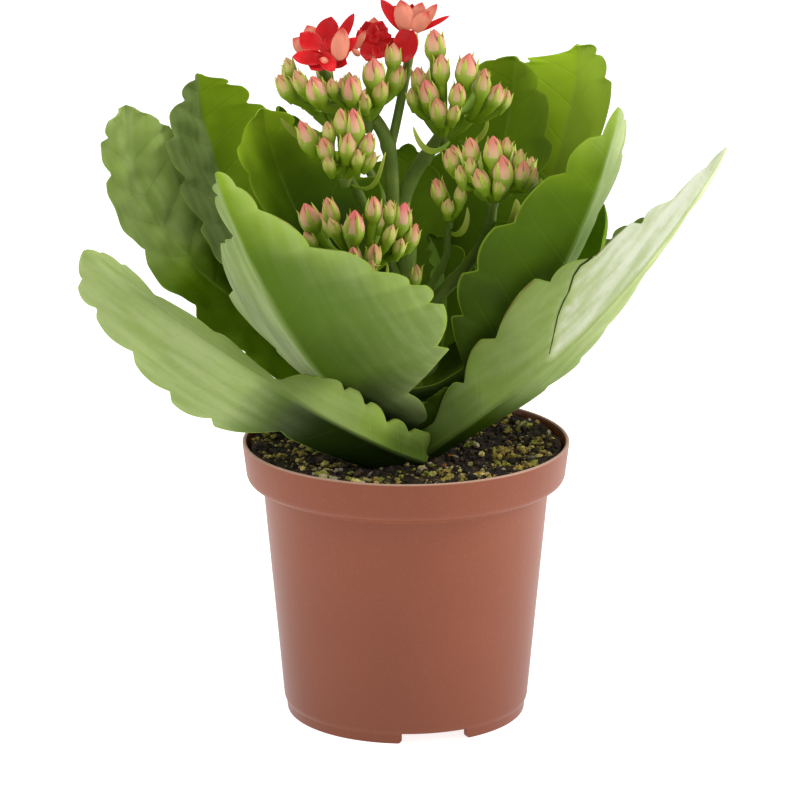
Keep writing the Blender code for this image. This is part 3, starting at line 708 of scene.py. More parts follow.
leafShapes = {
    "leaf_front_left_low": dict(
        rib=[(-3, -21, 92.2), (-35.5, -37, 113.3), (-70, -42, 137.7), (-99.2, -41, 161.4)],
        roll=(-85, -110), startAt=-0.10, stalk=8,
        right=dict(teeth=[(.28, 12.5), (.45, 21), (.57, 21.5), (.70, 17.5), (.85, 13), (.94, 9.5)],
                   notch=2, stalk=11, fold=15,
                   light=[(0, -1.2), (.28, -1), (.37, -.4), (.46, .35), (1, .35)],
                   bloom=[(.22, 0), (.34, .1), (.46, .55), (1, .58)]),
        left=dict(teeth=[(-.02, 8.5), (.06, 8.5), (.14, 10.5), (.21, 12), (.285, 13), (.36, 8.5),
                         (.55, 12), (.74, 12), (.87, 17), (.95, 12)],
                  stalk=9, fold=[(0, 0), (.24, 5), (.38, 70), (.6, 60)],
                  light=[(0, 0), (.10, .4), (1, .4)], bloom=[(0, .1), (.25, .35), (.5, .55), (1, .55)],
                  edge=(.4, .1), blush=.5)),
    "leaf_front_left": dict(
        rib=[(-4, -9, 103), (-28, -32, 122), (-47, -52, 161), (-57, -58, 190)], sag=(4, 7, -11), stalk=8,
        riseAt=-.02,
        left=dict(teeth=[(.13, 19), (.29, 45), (.46, 53), (.53, 51), (.58, 43), (.66, 30, 7),
                         (.80, 11, 1.5), (.90, 6, 1)],
                  notch=4.2, fold=25,
                  light=[(0, -1), (.15, -.95), (.32, -.5), (.6, -.1), (.8, .3), (1, .6)],
                  bloom=[(0, 0), (.5, .02), (1, .05)], edge=(.6, .36), blush=.4),
        right=dict(teeth=[(.30, 24), (.49, 28), (.68, 16), (.71, 8), (.87, 5.5), (.93, 4)], notch=3,
                   fold=5, curl=5, light=[(0, -.1), (1, .2)],
                   bloom=[(0, .25), (.4, .42), (.8, .35), (1, .25)])),
    "leaf_front_right": dict(
        rib=[(6, -6, 106), (34, -12, 126), (54, -23, 165), (65, -29, 204)], roll=(30, 25),
        right=dict(teeth=[(.15, 5), (.31, 23), (.46, 29), (.62, 27), (.78, 16), (.90, 6.5)], notch=3.8,
                   light=[(0, -.9), (.4, -.65), (.65, -.3), (.8, .15), (.92, .6), (1, .9)],
                   bloom=[(0, 0), (.8, 0), (1, .25)], edge=(.25, .02), blush=.4),
        left=dict(teeth=[(.34, 10), (.50, 12), (.66, 11), (.84, 11), (.95, 8)], notch=1.2,
                  fold=[(0, 28), (1, 8)], light=[(0, -.3), (.7, -.1), (1, .3)],
                  bloom=[(0, 0), (.6, .02), (.8, .4), (.9, .75), (1, .75)])),
    "leaf_right_low": dict(
        rib=[(8, -8, 94), (41, -27, 119), (74, -34, 156), (98.7, -26, 191)], roll=(70, 70), stalk=6,
        sag=(-3, -5, -5), startAt=-.08,
        step=dict(outer=.60, inner=.36, start=.06, lift=1.6, bloom=1.0, light=.25),
        right=dict(teeth=[(.16, 13), (.28, 19), (.48, 22), (.59, 14.5, .6), (.715, 11.5, 2.2),
                          (.80, 6.5, .6), (.92, 3, .6)],
                   notch=3, light=[(0, -.7), (.10, -.3), (.22, .3), (1, .5)],
                   bloom=[(0, 0), (.12, .12), (.2, .25), (.4, .38), (.6, .5), (.8, .65), (1, .8)],
                   blush=.45),
        left=dict(teeth=[(.30, 9), (.40, 10), (.49, 7), (.62, 3.4), (.80, 1.6), (.92, 1.2)], notch=.8,
                  light=[(0, -1), (.2, -.6), (.35, .2), (1, .5)],
                  bloom=[(.15, 0), (.35, .35), (.6, .85), (1, 1.3)])),
    "leaf_left": dict(
        rib=[(-8, 3, 97), (-41, 12, 120), (-76, 26, 150), (-90, 33, 192)], roll=(30, 30), pucker=1.3,
        left=dict(teeth=[(.20, 17), (.34, 20), (.48, 20), (.64, 17), (.845, 17), (.93, 13.5), (.98, 9)],
                  notch=3.2, fold=15, light=[(0, .3), (.35, 0), (.5, -.2), (.62, .4), (1, .7)],
                  bloom=[(0, 0), (.55, 0), (.7, .38), (1, .5)]),
        right=dict(teeth=[(.34, 8), (.47, 11), (.60, 15), (.73, 17), (.86, 18), (.94, 15), (.98, 7)],
                   fold=10, light=[(0, .3), (.35, 0), (.5, -.25), (.62, .3), (1, .6)],
                   bloom=[(0, 0), (.55, 0), (.7, .3), (1, .42)])),
    "leaf_back_left": dict(
        rib=[(-5, 6, 108), (-40, 28, 134), (-61, 46, 167), (-68, 55, 198)], roll=(20, 20),
        left=dict(teeth=[(.30, 18), (.52, 21), (.64, 22), (.77, 21.5), (.89, 12), (.97, 4.5)], notch=4,
                  pucker=.9, light=[(0, -.25), (1, -.05)], bloom=[(0, .05), (.5, .26), (1, .2)]),
        right=dict(teeth=[(.34, 20), (.47, 25), (.60, 26), (.73, 25), (.85, 20), (.94, 14), (.98, 7)],
                   notch=4, fold=10, light=[(0, -.2), (.5, .2), (1, .5)], bloom=0, edge=(.1, 0))),
    "leaf_inner_left": dict(
        rib=[(-7, -1, 113), (-22, 3, 137), (-38, 5, 170), (-45, 8, 196)], roll=(25, 25), blush=.4,
        left=dict(teeth=[(.34, 21), (.47, 26), (.62, 27), (.77, 27), (.87, 30), (.95, 13.5)], notch=2.6,
                  light=[(0, -1), (.5, -.75), (.74, .1), (1, 1.1)], bloom=0, edge=(.3, 0)),
        right=dict(teeth=[(.34, 24), (.46, 30), (.58, 30), (.70, 25), (.86, 14), (.98, 7)], notch=4,
                   light=[(0, -1), (.5, -.8), (.76, .2), (1, 1.1)], bloom=0, edge=(.8, 0))),
    "leaf_back_right": dict(
        rib=[(6, 5, 105), (34, 24, 135), (52, 43, 182), (55, 51, 208)],
        left=dict(teeth=scallops((21, 25, 26, 24, 20, 14)), notch=3, light=[(0, 0), (.6, 1.3), (1, 1.8)],
                  bloom=0),
        right=dict(teeth=[(.34, 21), (.47, 27), (.60, 31), (.78, 29.5), (.88, 19), (.97, 12)], notch=4.5,
                   light=[(0, -.2), (.6, 1), (1, 1.7)], bloom=[(0, 0), (1, .08)])),
    "leaf_back_right_inner": dict(
        rib=[(4, 7, 115), (21, 25, 138), (32, 42, 177), (35, 48, 205)], bloom=0,
        light=[(0, -.6), (.6, .05), (1, .45)],
        left=dict(teeth=[(.34, 19), (.47, 22), (.60, 23), (.73, 20), (.85, 16), (.965, 9)]),
        right=dict(teeth=[(.34, 19), (.47, 22), (.58, 28), (.665, 29), (.82, 21), (.97, 7)], notch=4,
                   edge=(.2, 0))),
    "leaf_right_back": dict(
        rib=[(9, 3, 97), (33, 9, 111), (57, 20, 136), (63, 26, 161)], bloom=0, light=.3,
        left=dict(teeth=resized(.8)),
        right=dict(teeth=scallops((13, 14, 13, 8, 4, 2)))),
    "leaf_back_inner": dict(
        rib=[(0, 8, 124), (-2, 23, 138), (-1, 37, 159), (1, 44, 177)], bloom=0, light=.1, **bothHalves(.7)),
    "leaf_inner_right": dict(
        rib=[(11, 2, 119), (12.5, 5, 128), (12, 9, 141), (7, 13, 154)], stalk=2, bloom=0, light=-.4,
        left=dict(teeth=resized(.22)),
        right=dict(teeth=resized(.45))),
    "leaf_back_left_inner": dict(
        rib=[(-4, 7, 117), (-18, 20, 136), (-34, 32, 165), (-41, 36, 191)], bloom=0, light=.2,
        **bothHalves(.7)),
    "leaf_basal": dict(
        rib=[(6, -8, 90), (9, -11, 98), (12, -13, 105), (13.3, -14, 110.6)], roll=(-120, -120), stalk=2,
        bloom=0, light=-.6,
        left=dict(teeth=scallops((5, 5.6, 5.6, 5, 3.6, 2)), notch=.4, fold=15),
        right=dict(teeth=scallops((5, 5.6, 5.6, 5, 3.6, 2)), notch=.4, fold=15, edge=(.6, 0))),
    "leaf_back_low": dict(
        rib=[(0, 9, 93), (3, 32, 106), (5, 53, 128), (4, 62, 156)], bloom=.3, light=.1,
        **bothHalves(.8, 25)),
    "leaf_back_left_low": dict(
        rib=[(-8, 7, 93), (-36, 24, 106), (-62, 42, 127), (-76, 52, 152)], bloom=.2, light=.1,
        **bothHalves(.75, 25)),
    "leaf_back_right_low": dict(
        rib=[(8, 7, 93), (38, 23, 106), (64, 41, 127), (78, 50, 151)], bloom=.3, light=.1,
        **bothHalves(.75, 25)),
}
bladeMake = dict(rows=165, columns=(0, .04, .10, .18, .28, .40, .52, .64, .76, .87, .95, 1),
                 thickness=1.6, narrowest=0.25, keel=0.6, groove=0.2, wave=0.5, veinGap=11.0,
                 startAt=-0.05)
usualHalf = dict(stalk=4.0, notch=2.0, riseAt=0.06, fold=20, curl=10.0, pucker=0.15,
                 light=0.0, bloom=0.3, blush=0.25)


def halfWidth(t, teeth, stalk, notch, riseAt):  # a stalk, then convex scallops that each end in a tooth
    if t >= 1:
        return 0.0
    firstPlace, firstWidth = teeth[0][:2]
    if t <= firstPlace:
        rise = max(0.0, (t - riseAt) / (firstPlace - riseAt))
        return stalk + (firstWidth - stalk) * math.sin(rise * math.pi / 2) ** 1.3
    stops = list(teeth) + [(1.0, 0.0)]
    for k in range(1, len(stops)):
        t0, w0 = stops[k - 1][:2]
        t1, w1 = stops[k][:2]
        if t > t1:
            continue
        if len(stops[k - 1]) > 2:
            notch = stops[k - 1][2]
        last = k == len(stops) - 1
        share = (t - t0) / (t1 - t0)
        dip = 0.08 if last else 0.14
        low = w0 + (w1 - w0) * dip - notch * min(1.0, w0 / 8)
        if share < dip:
            return w0 + (low - w0) * share / dip
        rest = (share - dip) / (1 - dip)
        if last:
            return low * (1 - rest ** 1.8) ** 0.75
        return low + (w1 - low) * rest + 0.8 * min(notch, 3.0) * math.sin(math.pi * rest) ** 0.8
    return 0.0


def ribPoint(leaf, t):  # the midrib, its foot drawn down towards the stem
    drop = Vector(leaf.get("sag", (0, 0, 0))) * max(0.0, 1 - t / 0.25) ** 2
    return curveThrough(leaf["rib"], t) + drop


def bladeFrame(leaf, t):  # midrib point, way across and upper normal
    rib = leaf["rib"]
    direction = (ribPoint(leaf, min(1.0, t + 0.02)) - ribPoint(leaf, t - 0.02)).normalized()
    heading = Vector(rib[3]) - Vector(rib[0])
    side = Vector((heading.y, -heading.x, 0)).normalized()
    side = (side - side.dot(direction) * direction).normalized()
    rise = side.cross(direction)
    roll = math.radians(blendTo(*leaf.get("roll", (0, 0)), t))
    across = side * math.cos(roll) + rise * math.sin(roll)
    normal = rise * math.cos(roll) - side * math.sin(roll)
    return ribPoint(leaf, t), across, normal


def traits(leaf, half, labels, t):  # each a number, or stops along the blade, of the half or the leaf
    values = []
    for label in labels:
        value = half.get(label, leaf.get(label, usualHalf[label]))
        values.append(easedStops(value, t) if isinstance(value, list) else value)
    return values


def stepOver(step, share, t):  # 0 on the inner lobe, 1 past the line where the outer blade starts
    if step is None:
        return 0.0
    line = blendTo(step["inner"], step["outer"], share)
    return easeInOut((t - line) / 0.035 + 0.3)


def reliefAt(make, pucker, share, width, t, long, hand, phase):  # wavy margin, swelling and lumps
    offRib = share * width
    ripple = make["wave"] * share ** 3 * math.sin(t * 17 + phase + hand) * easeInOut((t - 0.2) / 0.3)
    vein = abs(math.sin(math.pi * (t * long - offRib * 0.75) / make["veinGap"]))
    swell = pucker * (vein ** 0.6 - 0.6) * easeInOut(offRib / 3) * easeInOut((1 - share) / 0.25)
    lump = pucker * 1.2 * noise.noise(Vector((t * long * 0.16, hand * offRib * 0.2, phase)))
    return ripple + swell + lump


def addCrease(blade, rows, columns, step, startAt, count):  # margin of the inner lobe, laid below, as a thin rod painted as a dark shadow line
    crease = []
    for k, share in enumerate(columns):
        if share < step["start"]:
            continue
        place = (blendTo(step["inner"], step["outer"], share) - startAt) / (1 - startAt) * count
        i = int(place)
        crease.append(blade.points[rows[i][k][1]].lerp(blade.points[rows[i + 1][k][1]], place - i) / mm)
    radii = [0.14 + 0.24 * k / len(crease) for k in range(len(crease))]
    blade.rod(crease, radii, 8, 0, (-1.6, 0, 1))
# painted shadow: the rod's light of -1.6 gives it the shade green


def makeBlade(node, leaf, make):
    blade = Sculpt()
    columns = make["columns"]
    phase = sum(leaf["rib"][3]) * 0.7
    long = (Vector(leaf["rib"][3]) - Vector(leaf["rib"][0])).length
    step = leaf.get("step")
    startAt = leaf.get("startAt", make["startAt"])
    rows = []
    for i in range(make["rows"]):
        t = startAt + (1 - startAt) * i / make["rows"]
        middle, across, normal = bladeFrame(leaf, t)
        thick = make["thickness"] * (1.7 - 0.7 * easeInOut(t / 0.25)) * (1 - 0.45 * max(0, t))
        row = {}
        # light is painted light and shade; bloom is pale dust with a painted sheen of the white surround
        tones = {}
        for key in ("left", "right"):
            tones[key] = traits(leaf, leaf[key], ("light", "bloom", "blush"), t)
        for hand, key in ((-1, "left"), (1, "right")):
            half = leaf[key]
            stalk, notch, riseAt = traits(leaf, half, ("stalk", "notch", "riseAt"), t)
            width = max(make["narrowest"], halfWidth(t, half["teeth"], stalk, notch, riseAt))
            fold, curl, pucker = traits(leaf, half, ("fold", "curl", "pucker"), t)
            lightEdge, bloomAndSheenEdge = half.get("edge", (0, 0))
            place = middle
            before = 0.0
            for k, share in enumerate(columns):
                advance = share - before
                centre = (share + before) / 2
                angle = math.radians(fold * (0.8 + 0.27 * centre) + curl * centre)
                sideways = hand * across * math.cos(angle) + normal * math.sin(angle)
                facing = normal * math.cos(angle) - hand * across * math.sin(angle)
                place = place + sideways * width * advance
                before = share
                offRib = share * width
                relief = reliefAt(make, pucker, share, width, t, long, hand, phase)
                over = stepOver(step if key == "right" else None, share, t)
                lift = step["lift"] * over * easeInOut(share / 0.35) if over else 0.0
                lifted = place + facing * (relief + lift)
                body = thick * math.sqrt(max(0.0, 1 - share ** 3))
                near = math.exp(-(offRib / 1.5) ** 2)
                top = lifted + facing * (body * 0.4 - make["groove"] * near)
                low = lifted - facing * (body * 0.6 + make["keel"] * near * (1 - 0.6 * t))
                if k == 0:
                    if hand == 1:
                        continue
                    light, bloom, blush = [(a + b) / 2 for a, b in zip(tones["left"], tones["right"])]
                else:
                    light, bloom, blush = tones[key]
                    # the margin and the outer blade past the step get painted light and painted sheen
                    light += lightEdge * share * share
                    bloom += bloomAndSheenEdge * share * share
                    if over:
                        light += step["light"] * over
                        bloom += step["bloom"] * over
                lie = (hand * offRib, t * long, phase)
                tone = (light, bloom, blush)
                paint = (hand * share, t)
                if share == 1:
                    row[hand * k] = (blade.point(lifted, (*paint, 0.5), tone, lie),) * 2
                else:
                    row[hand * k] = (blade.point(top, (*paint, 1.0), tone, lie),
                                     blade.point(low, (*paint, 0.0), tone, lie))
        rows.append(row)
    last = len(columns) - 1
    for here, there in zip(rows, rows[1:]):
        for k in range(-last, last):
            blade.face((here[k][0], here[k + 1][0], there[k + 1][0], there[k][0]))
            blade.face((here[k + 1][1], here[k][1], there[k][1], there[k + 1][1]))
    tip = blade.point(curveThrough(leaf["rib"], 1.0), (0, 1, 0.5), blade.tone[-1], (0, long, phase))
    for k in range(-last, last):
        blade.face((rows[-1][k][0], rows[-1][k + 1][0], tip))
        blade.face((rows[-1][k + 1][1], rows[-1][k][1], tip))
    if step is not None:
        addCrease(blade, rows, columns, step, startAt, make["rows"])
    rim = [rows[0][k][0] for k in range(-last, last + 1)]
    rim += [rows[0][k][1] for k in range(last - 1, -last, -1)]
    blade.face(tuple(reversed(rim)))
    piece = blade.finish(node + "_blade", [leafSkin], 75)
    standFor(piece, node)
    return piece


for leafNode, leafShape in leafShapes.items():
    makeBlade(leafNode, leafShape, bladeMake)
print("leaves grown:", len(leafShapes))


# stems and stalks

# Each stem: four points that it runs through, radius at its foot and at its top.
stemShapes = {
    "main_stem": ([(1, 1, 85), (1, 1, 110), (0, 1, 134), (1, 1, 156)], 4.4, 2.7),
    "stalk_top_left": ([(-1, 2, 150), (-4, 2, 168), (-5, 2, 182), (-10, 1, 194)], 2.4, 2.0),
    "stalk_top_right": ([(1, 1.5, 152), (-1, 2.5, 166), (4, 3.5, 178), (11, 4, 188)], 2.4, 2.0),
    "stalk_mid_left": ([(0, -1, 136), (-7, -6, 154), (-13, -7, 168), (-19, -12, 180)], 1.6, 1.2),
    "stalk_right": ([(4, 1, 130), (18, -3, 146), (25, -8, 158), (27, -11, 171)], 2.1, 1.6),
    "stalk_right_low": ([(5, 0, 136), (12, -7, 150), (13, -9, 157), (14, -11, 165)], 1.2, 1.0),
    "stalk_front": ([(1, -1, 112), (-3, -12, 130), (-8, -20, 142), (-12, -24, 151)], 2.0, 1.5),
    "stalk_lone": ([(3, -1, 114), (5, -11, 127), (5, -15, 135), (3, -17, 143)], 0.9, 0.7),
    "stalk_back": ([(1, 3, 138), (-5, 19, 156), (-11, 27, 170), (-23, 33, 185)], 1.6, 1.2),
}
stemMake = dict(sides=20, steps=36, ridge=0.05, joints=2, swell=0.16)


def makeStem(node, points, footRadius, topRadius, make):
    stem = Sculpt()
    path = [curveThrough(points, i / make["steps"]) for i in range(make["steps"] + 1)]
    radii = []
    for i in range(make["steps"] + 1):
        along = i / make["steps"]
        joint = math.exp(-((along * make["joints"]) % 1 - 0.5) ** 2 / 0.006)  # a node where leaves sat
        flare = 0.25 * math.exp(-along / 0.05)
        radii.append(blendTo(footRadius, topRadius, along) * (1 + make["swell"] * joint + flare))
    rings = stem.rod(path, radii, make["sides"], 0, ((footRadius % 1) * 0.2 - 0.1, 0, 0))
    for ring, centre in zip(rings, path):
        for k in range(0, make["sides"], 2):  # faint ridges
            place = stem.points[ring[k]]
            stem.points[ring[k]] = centre * mm + (place - centre * mm) * (1 + make["ridge"])
    piece = stem.finish(node + "_skin", [stalkSkin], 80)
    standFor(piece, node)
    return piece


for stemNode, (stemPoints, footRadius, topRadius) in stemShapes.items():
    makeStem(stemNode, stemPoints, footRadius, topRadius, stemMake)
print("stems set:", len(stemShapes))


# bud heads

large = (9.8, 3.5, 0.95)  # length, radius and ripeness of a bud about to open
medium = (8.2, 2.8, 0.5)
small = (6.5, 2.2, 0.12)

# Each head: centre; reach of its dome to the side, front and top; the joint that its stalks leave, as
# a place or as a drop below the centre; buds on the front as (right of centre, above centre, size);
# and the number behind.
headShapes = {
    "head_top_left": dict(
        centre=(-22, 1, 203), dome=(19, 13, 14), joint=(-12, 1, 193), behind=6,
        front=[(-16, 3, medium), (-14.5, 9, small), (-11, 5, medium), (-6, 3, large), (-1, 4, small),
               (5, 3, large), (9, -1, small), (12, 8, large), (14, 2, medium), (18, 12, medium),
               (19.5, 5, medium)]),
    "head_top_right": dict(
        centre=(16, 4, 199), dome=(17, 13, 16), joint=(11.5, 4, 188), behind=5,
        front=[(-7, 19.5, large), (-5, 13, medium), (-14, 3, small), (-12, 9, medium), (-9, 5, large),
               (-6, 0, medium), (-1, -1, small), (0, 5, medium), (3, 13, large), (8, 8, medium),
               (12, 4, medium), (15, 2, small)]),
    "head_mid_left": dict(
        centre=(-19, -14, 187), dome=(15, 10, 12), drop=8, behind=1,
        front=[(-12, 6, large), (-5, 8, small), (-6, 3, medium), (-5, -2, small), (-1, 11, medium),
               (3, 10, large), (1, 4, medium), (7, 4, medium), (4, 0, small), (8, -1, small)]),
    "head_right": dict(
        centre=(27, -12, 180), dome=(16, 11, 13), drop=9, behind=4,
        front=[(-13, 5, medium), (-10, 1, small), (-7, 9, medium), (-7, 4, small), (0, 9, large),
               (4, 10, small), (3, 3, large), (8, 6, small), (-4, 0, medium), (2, -2, small),
               (9, 2, medium), (12, 0, small)]),
    "head_right_low": dict(
        centre=(14, -11, 170), dome=(8, 6, 8), drop=5, behind=0,
        front=[(-4, 5, medium), (3, 4, small), (-1, 0, small)]),
    "head_front": dict(
        centre=(-13, -25, 161), dome=(18, 10, 13), drop=10, behind=4,
        front=[(-17, 8, large), (-10.5, 11, medium), (-9.5, 6, small), (-17, 1, small), (-3, 7, large),
               (3, 12, medium), (8, 11, small), (12, 9, large), (8, 4, small), (15, 3, medium),
               (11, 0, small), (-3, -3, medium), (3, -2, medium), (2, -6, small)]),
    "bud_lone": dict(
        centre=(3, -17, 148), dome=(4, 3, 4), drop=5, behind=0,
        front=[(0, 1, small)]),
    "head_back": dict(
        centre=(-24, 34, 193), dome=(13, 10, 10), drop=8, behind=6,
        front=[(-9, 4, small), (-3, 7, medium), (4, 6, medium), (9, 3, small)]),
}
budProfile = [(0.0, 0.50), (0.08, 0.74), (0.18, 0.92), (0.32, 1.0), (0.46, 0.98), (0.60, 0.87), (0.73, 0.69),
              (0.84, 0.46), (0.92, 0.27), (0.98, 0.10)]
cupProfile = [(0.12, 0.98), (0.26, 1.06), (0.34, 1.0)]
sepalProfile = [(0.00, 1.0), (0.22, 0.92), (0.46, 0.66), (0.68, 0.40), (0.86, 0.20)]
sepalSection = [(-1, -0.20), (-0.5, 0.12), (0, 0.20), (0.5, 0.12), (1, -0.20), (0, -0.14)]
branchRadii = [1.7, 1.5, 1.4, 1.4, 1.5, 1.8, 2.0]
budMake = dict(sides=24, stalkSides=12, stalkRadius=1.25, stalkSteps=9, sepals=4, perBranch=3.4)


def budPlaces(head):
    centre = Vector(head["centre"])
    side, front, top = head["dome"]
    places = []
    for right, above, size in head["front"]:
        off = min(0.95, (right / side) ** 2 + 0.45 * (max(0.0, above) / top) ** 2)
        places.append((centre + Vector((right, -front * math.sqrt(1 - off), above)), size))
    for k in range(head["behind"]):
        swing = math.pi * (k + 0.5) / head["behind"]
        lift = 0.05 + 0.25 * (k % 2)
        back = Vector((side * 0.8 * math.cos(swing), front * 0.9 * math.sin(swing), top * lift))
        places.append((centre + back, medium if k % 2 else small))
    return places


def bendPath(start, end, sag, steps):  # a stalk that leaves low and turns up to its bud
    path = []
    for i in range(steps + 1):
        share = i / steps
        path.append(start + (end - start) * share - upward * sag * math.sin(math.pi * share))
    return path


def radiusAlong(profile, share):
    for (h0, r0), (h1, r1) in zip(profile, profile[1:]):
        if share <= h1:
            return blendTo(r0, r1, (share - h0) / (h1 - h0))
    return profile[-1][1] * (1 - share) / (1 - profile[-1][0])


def addSepal(head, base, aim, out, length, radius, spread, tone):
    side = aim.cross(out).normalized()
    rings = []
    for share, width in sepalProfile:
        high = 0.20 + 0.66 * share
        reach = radius * radiusAlong(budProfile, high) + 0.06 + spread * share ** 3
        place = base + aim * length * high + out * reach
        half = radius * 0.56 * width
        ring = []
        for sideways, lift in sepalSection:
            inward = 0.50 * half * sideways * sideways * (1 - share * 0.6)
            point = place + side * half * sideways + out * (lift - inward)
            ring.append(head.point(point, (sideways, 0.35 + 0.6 * share, 0), tone))
        rings.append(ring)
    for low, high in zip(rings, rings[1:]):
        head.skin(low, high, 1)
    tipReach = radius * radiusAlong(budProfile, 0.9) + 0.2 + spread * 1.5
    tip = head.point(base + aim * length * 0.93 + out * tipReach, (0, 1.1, 0), tone)
    head.skin(rings[-1], [tip], 1)
    head.face(tuple(reversed(rings[0])), 1)


def addBud(head, node, middle, size, chance):
    length, radius, ripe = size
    length *= chance.uniform(0.92, 1.08)
    radius *= chance.uniform(0.86, 0.98)
    ripe = min(1, max(0, ripe + chance.uniform(-0.2, 0.12)))
    aim = ((middle - node).normalized() * 0.7 + upward * 0.9).normalized()
    aim = (aim + Vector((chance.uniform(-0.12, 0.12), chance.uniform(-0.12, 0.12), 0))).normalized()
    base = middle - aim * length * 0.5
    tone = (chance.uniform(-0.1, 0.1), 0, 0)
    steps = budMake["stalkSteps"]
    thin = budMake["stalkRadius"]
    path = bendPath(node, base, 0.12 * (base - node).length, steps)
    radii = [thin + (radius * 0.66 - thin) * easeInOut((i - 3) / 6) for i in range(steps + 1)]
    head.rod(path, radii, budMake["stalkSides"], 1, tone, paintTo=0.0)
    side = aim.orthogonal().normalized()
    other = aim.cross(side)
    turn = chance.uniform(0, 6.28)
    rings = []
    sides = budMake["sides"]
    for high, wide in budProfile:
        ring = []
        for k in range(sides):
            angle = 2 * math.pi * k / sides
            twist = turn + high * 0.9
            lobe = 1 + 0.07 * abs(math.cos(2 * (angle - twist))) - 0.035 + 0.02 * math.cos(2 * angle)
            out = around(side, other, angle)
            seam = (angle - turn) / (2 * math.pi)
            place = base + aim * length * high + out * radius * wide * lobe
            ring.append(head.point(place, (seam + 1, high, ripe), tone))
        rings.append(ring)
    for low, high in zip(rings, rings[1:]):
        head.skin(low, high, 0)
    tip = head.point(base + aim * length, (1, 1, ripe), tone)
    head.skin(rings[-1], [tip], 0)
    head.face(tuple(reversed(rings[0])), 0)
    cup = [base - aim * 2.2, base - aim * 0.4] + [base + aim * length * high for high, _ in cupProfile]
    cupRadii = [radius * 0.50, radius * 0.74] + [radius * wide for _, wide in cupProfile]
    head.rod(cup, cupRadii, 18, 1, tone, paintTo=0.45)
    for k in range(budMake["sepals"]):
        angle = turn + math.pi / 4 + math.pi / 2 * k + chance.uniform(-0.15, 0.15)
        out = around(side, other, angle)
        addSepal(head, base, aim, out, length * chance.uniform(0.9, 1.08), radius,
                 chance.uniform(0.3, 1.6), tone)


def branchPoints(joint, places):  # side branches, each under a few neighbouring buds
    ordered = sorted(places, key=lambda item: item[0].x)
    groups = max(1, round(len(ordered) / budMake["perBranch"]))
    branches = []
    for g in range(groups):
        group = ordered[g * len(ordered) // groups:(g + 1) * len(ordered) // groups]
        centre = sum((place for place, _ in group), Vector()) / len(group)
        fork = joint + (centre - upward * 3 - joint) * 0.5 if groups > 1 else joint
        branches.append((fork, group))
    return branches


def makeHead(node, shape, seed):
    chance = random.Random(seed)
    head = Sculpt()
    if "joint" in shape:
        joint = Vector(shape["joint"])
    else:
        joint = Vector(shape["centre"]) - upward * shape["drop"]
    places = budPlaces(shape)
    knot = [joint - upward * 3.5, joint - upward * 1.5, joint, joint + upward * 1.2]
    head.rod(knot, [1.3, 2.0, 2.4, 1.6] if len(places) > 3 else [0.8, 1.0, 1.1, 0.8], 14, 2)
    for fork, group in branchPoints(joint, places):
        if (fork - joint).length > 1:
            path = bendPath(joint, fork, 0.15 * (fork - joint).length, len(branchRadii) - 1)
            head.rod(path, branchRadii, 12, 1, paintTo=0.05)
        for middle, size in group:
            addBud(head, fork, middle, size, chance)
    piece = head.finish(node + "_buds", [budSkin, calyxSkin, stalkSkin], 55)
    standFor(piece, node)
    return piece


for number, (headNode, headShape) in enumerate(headShapes.items()):
    makeHead(headNode, headShape, 40 + number)
print("bud heads set:", len(headShapes))


# flowers

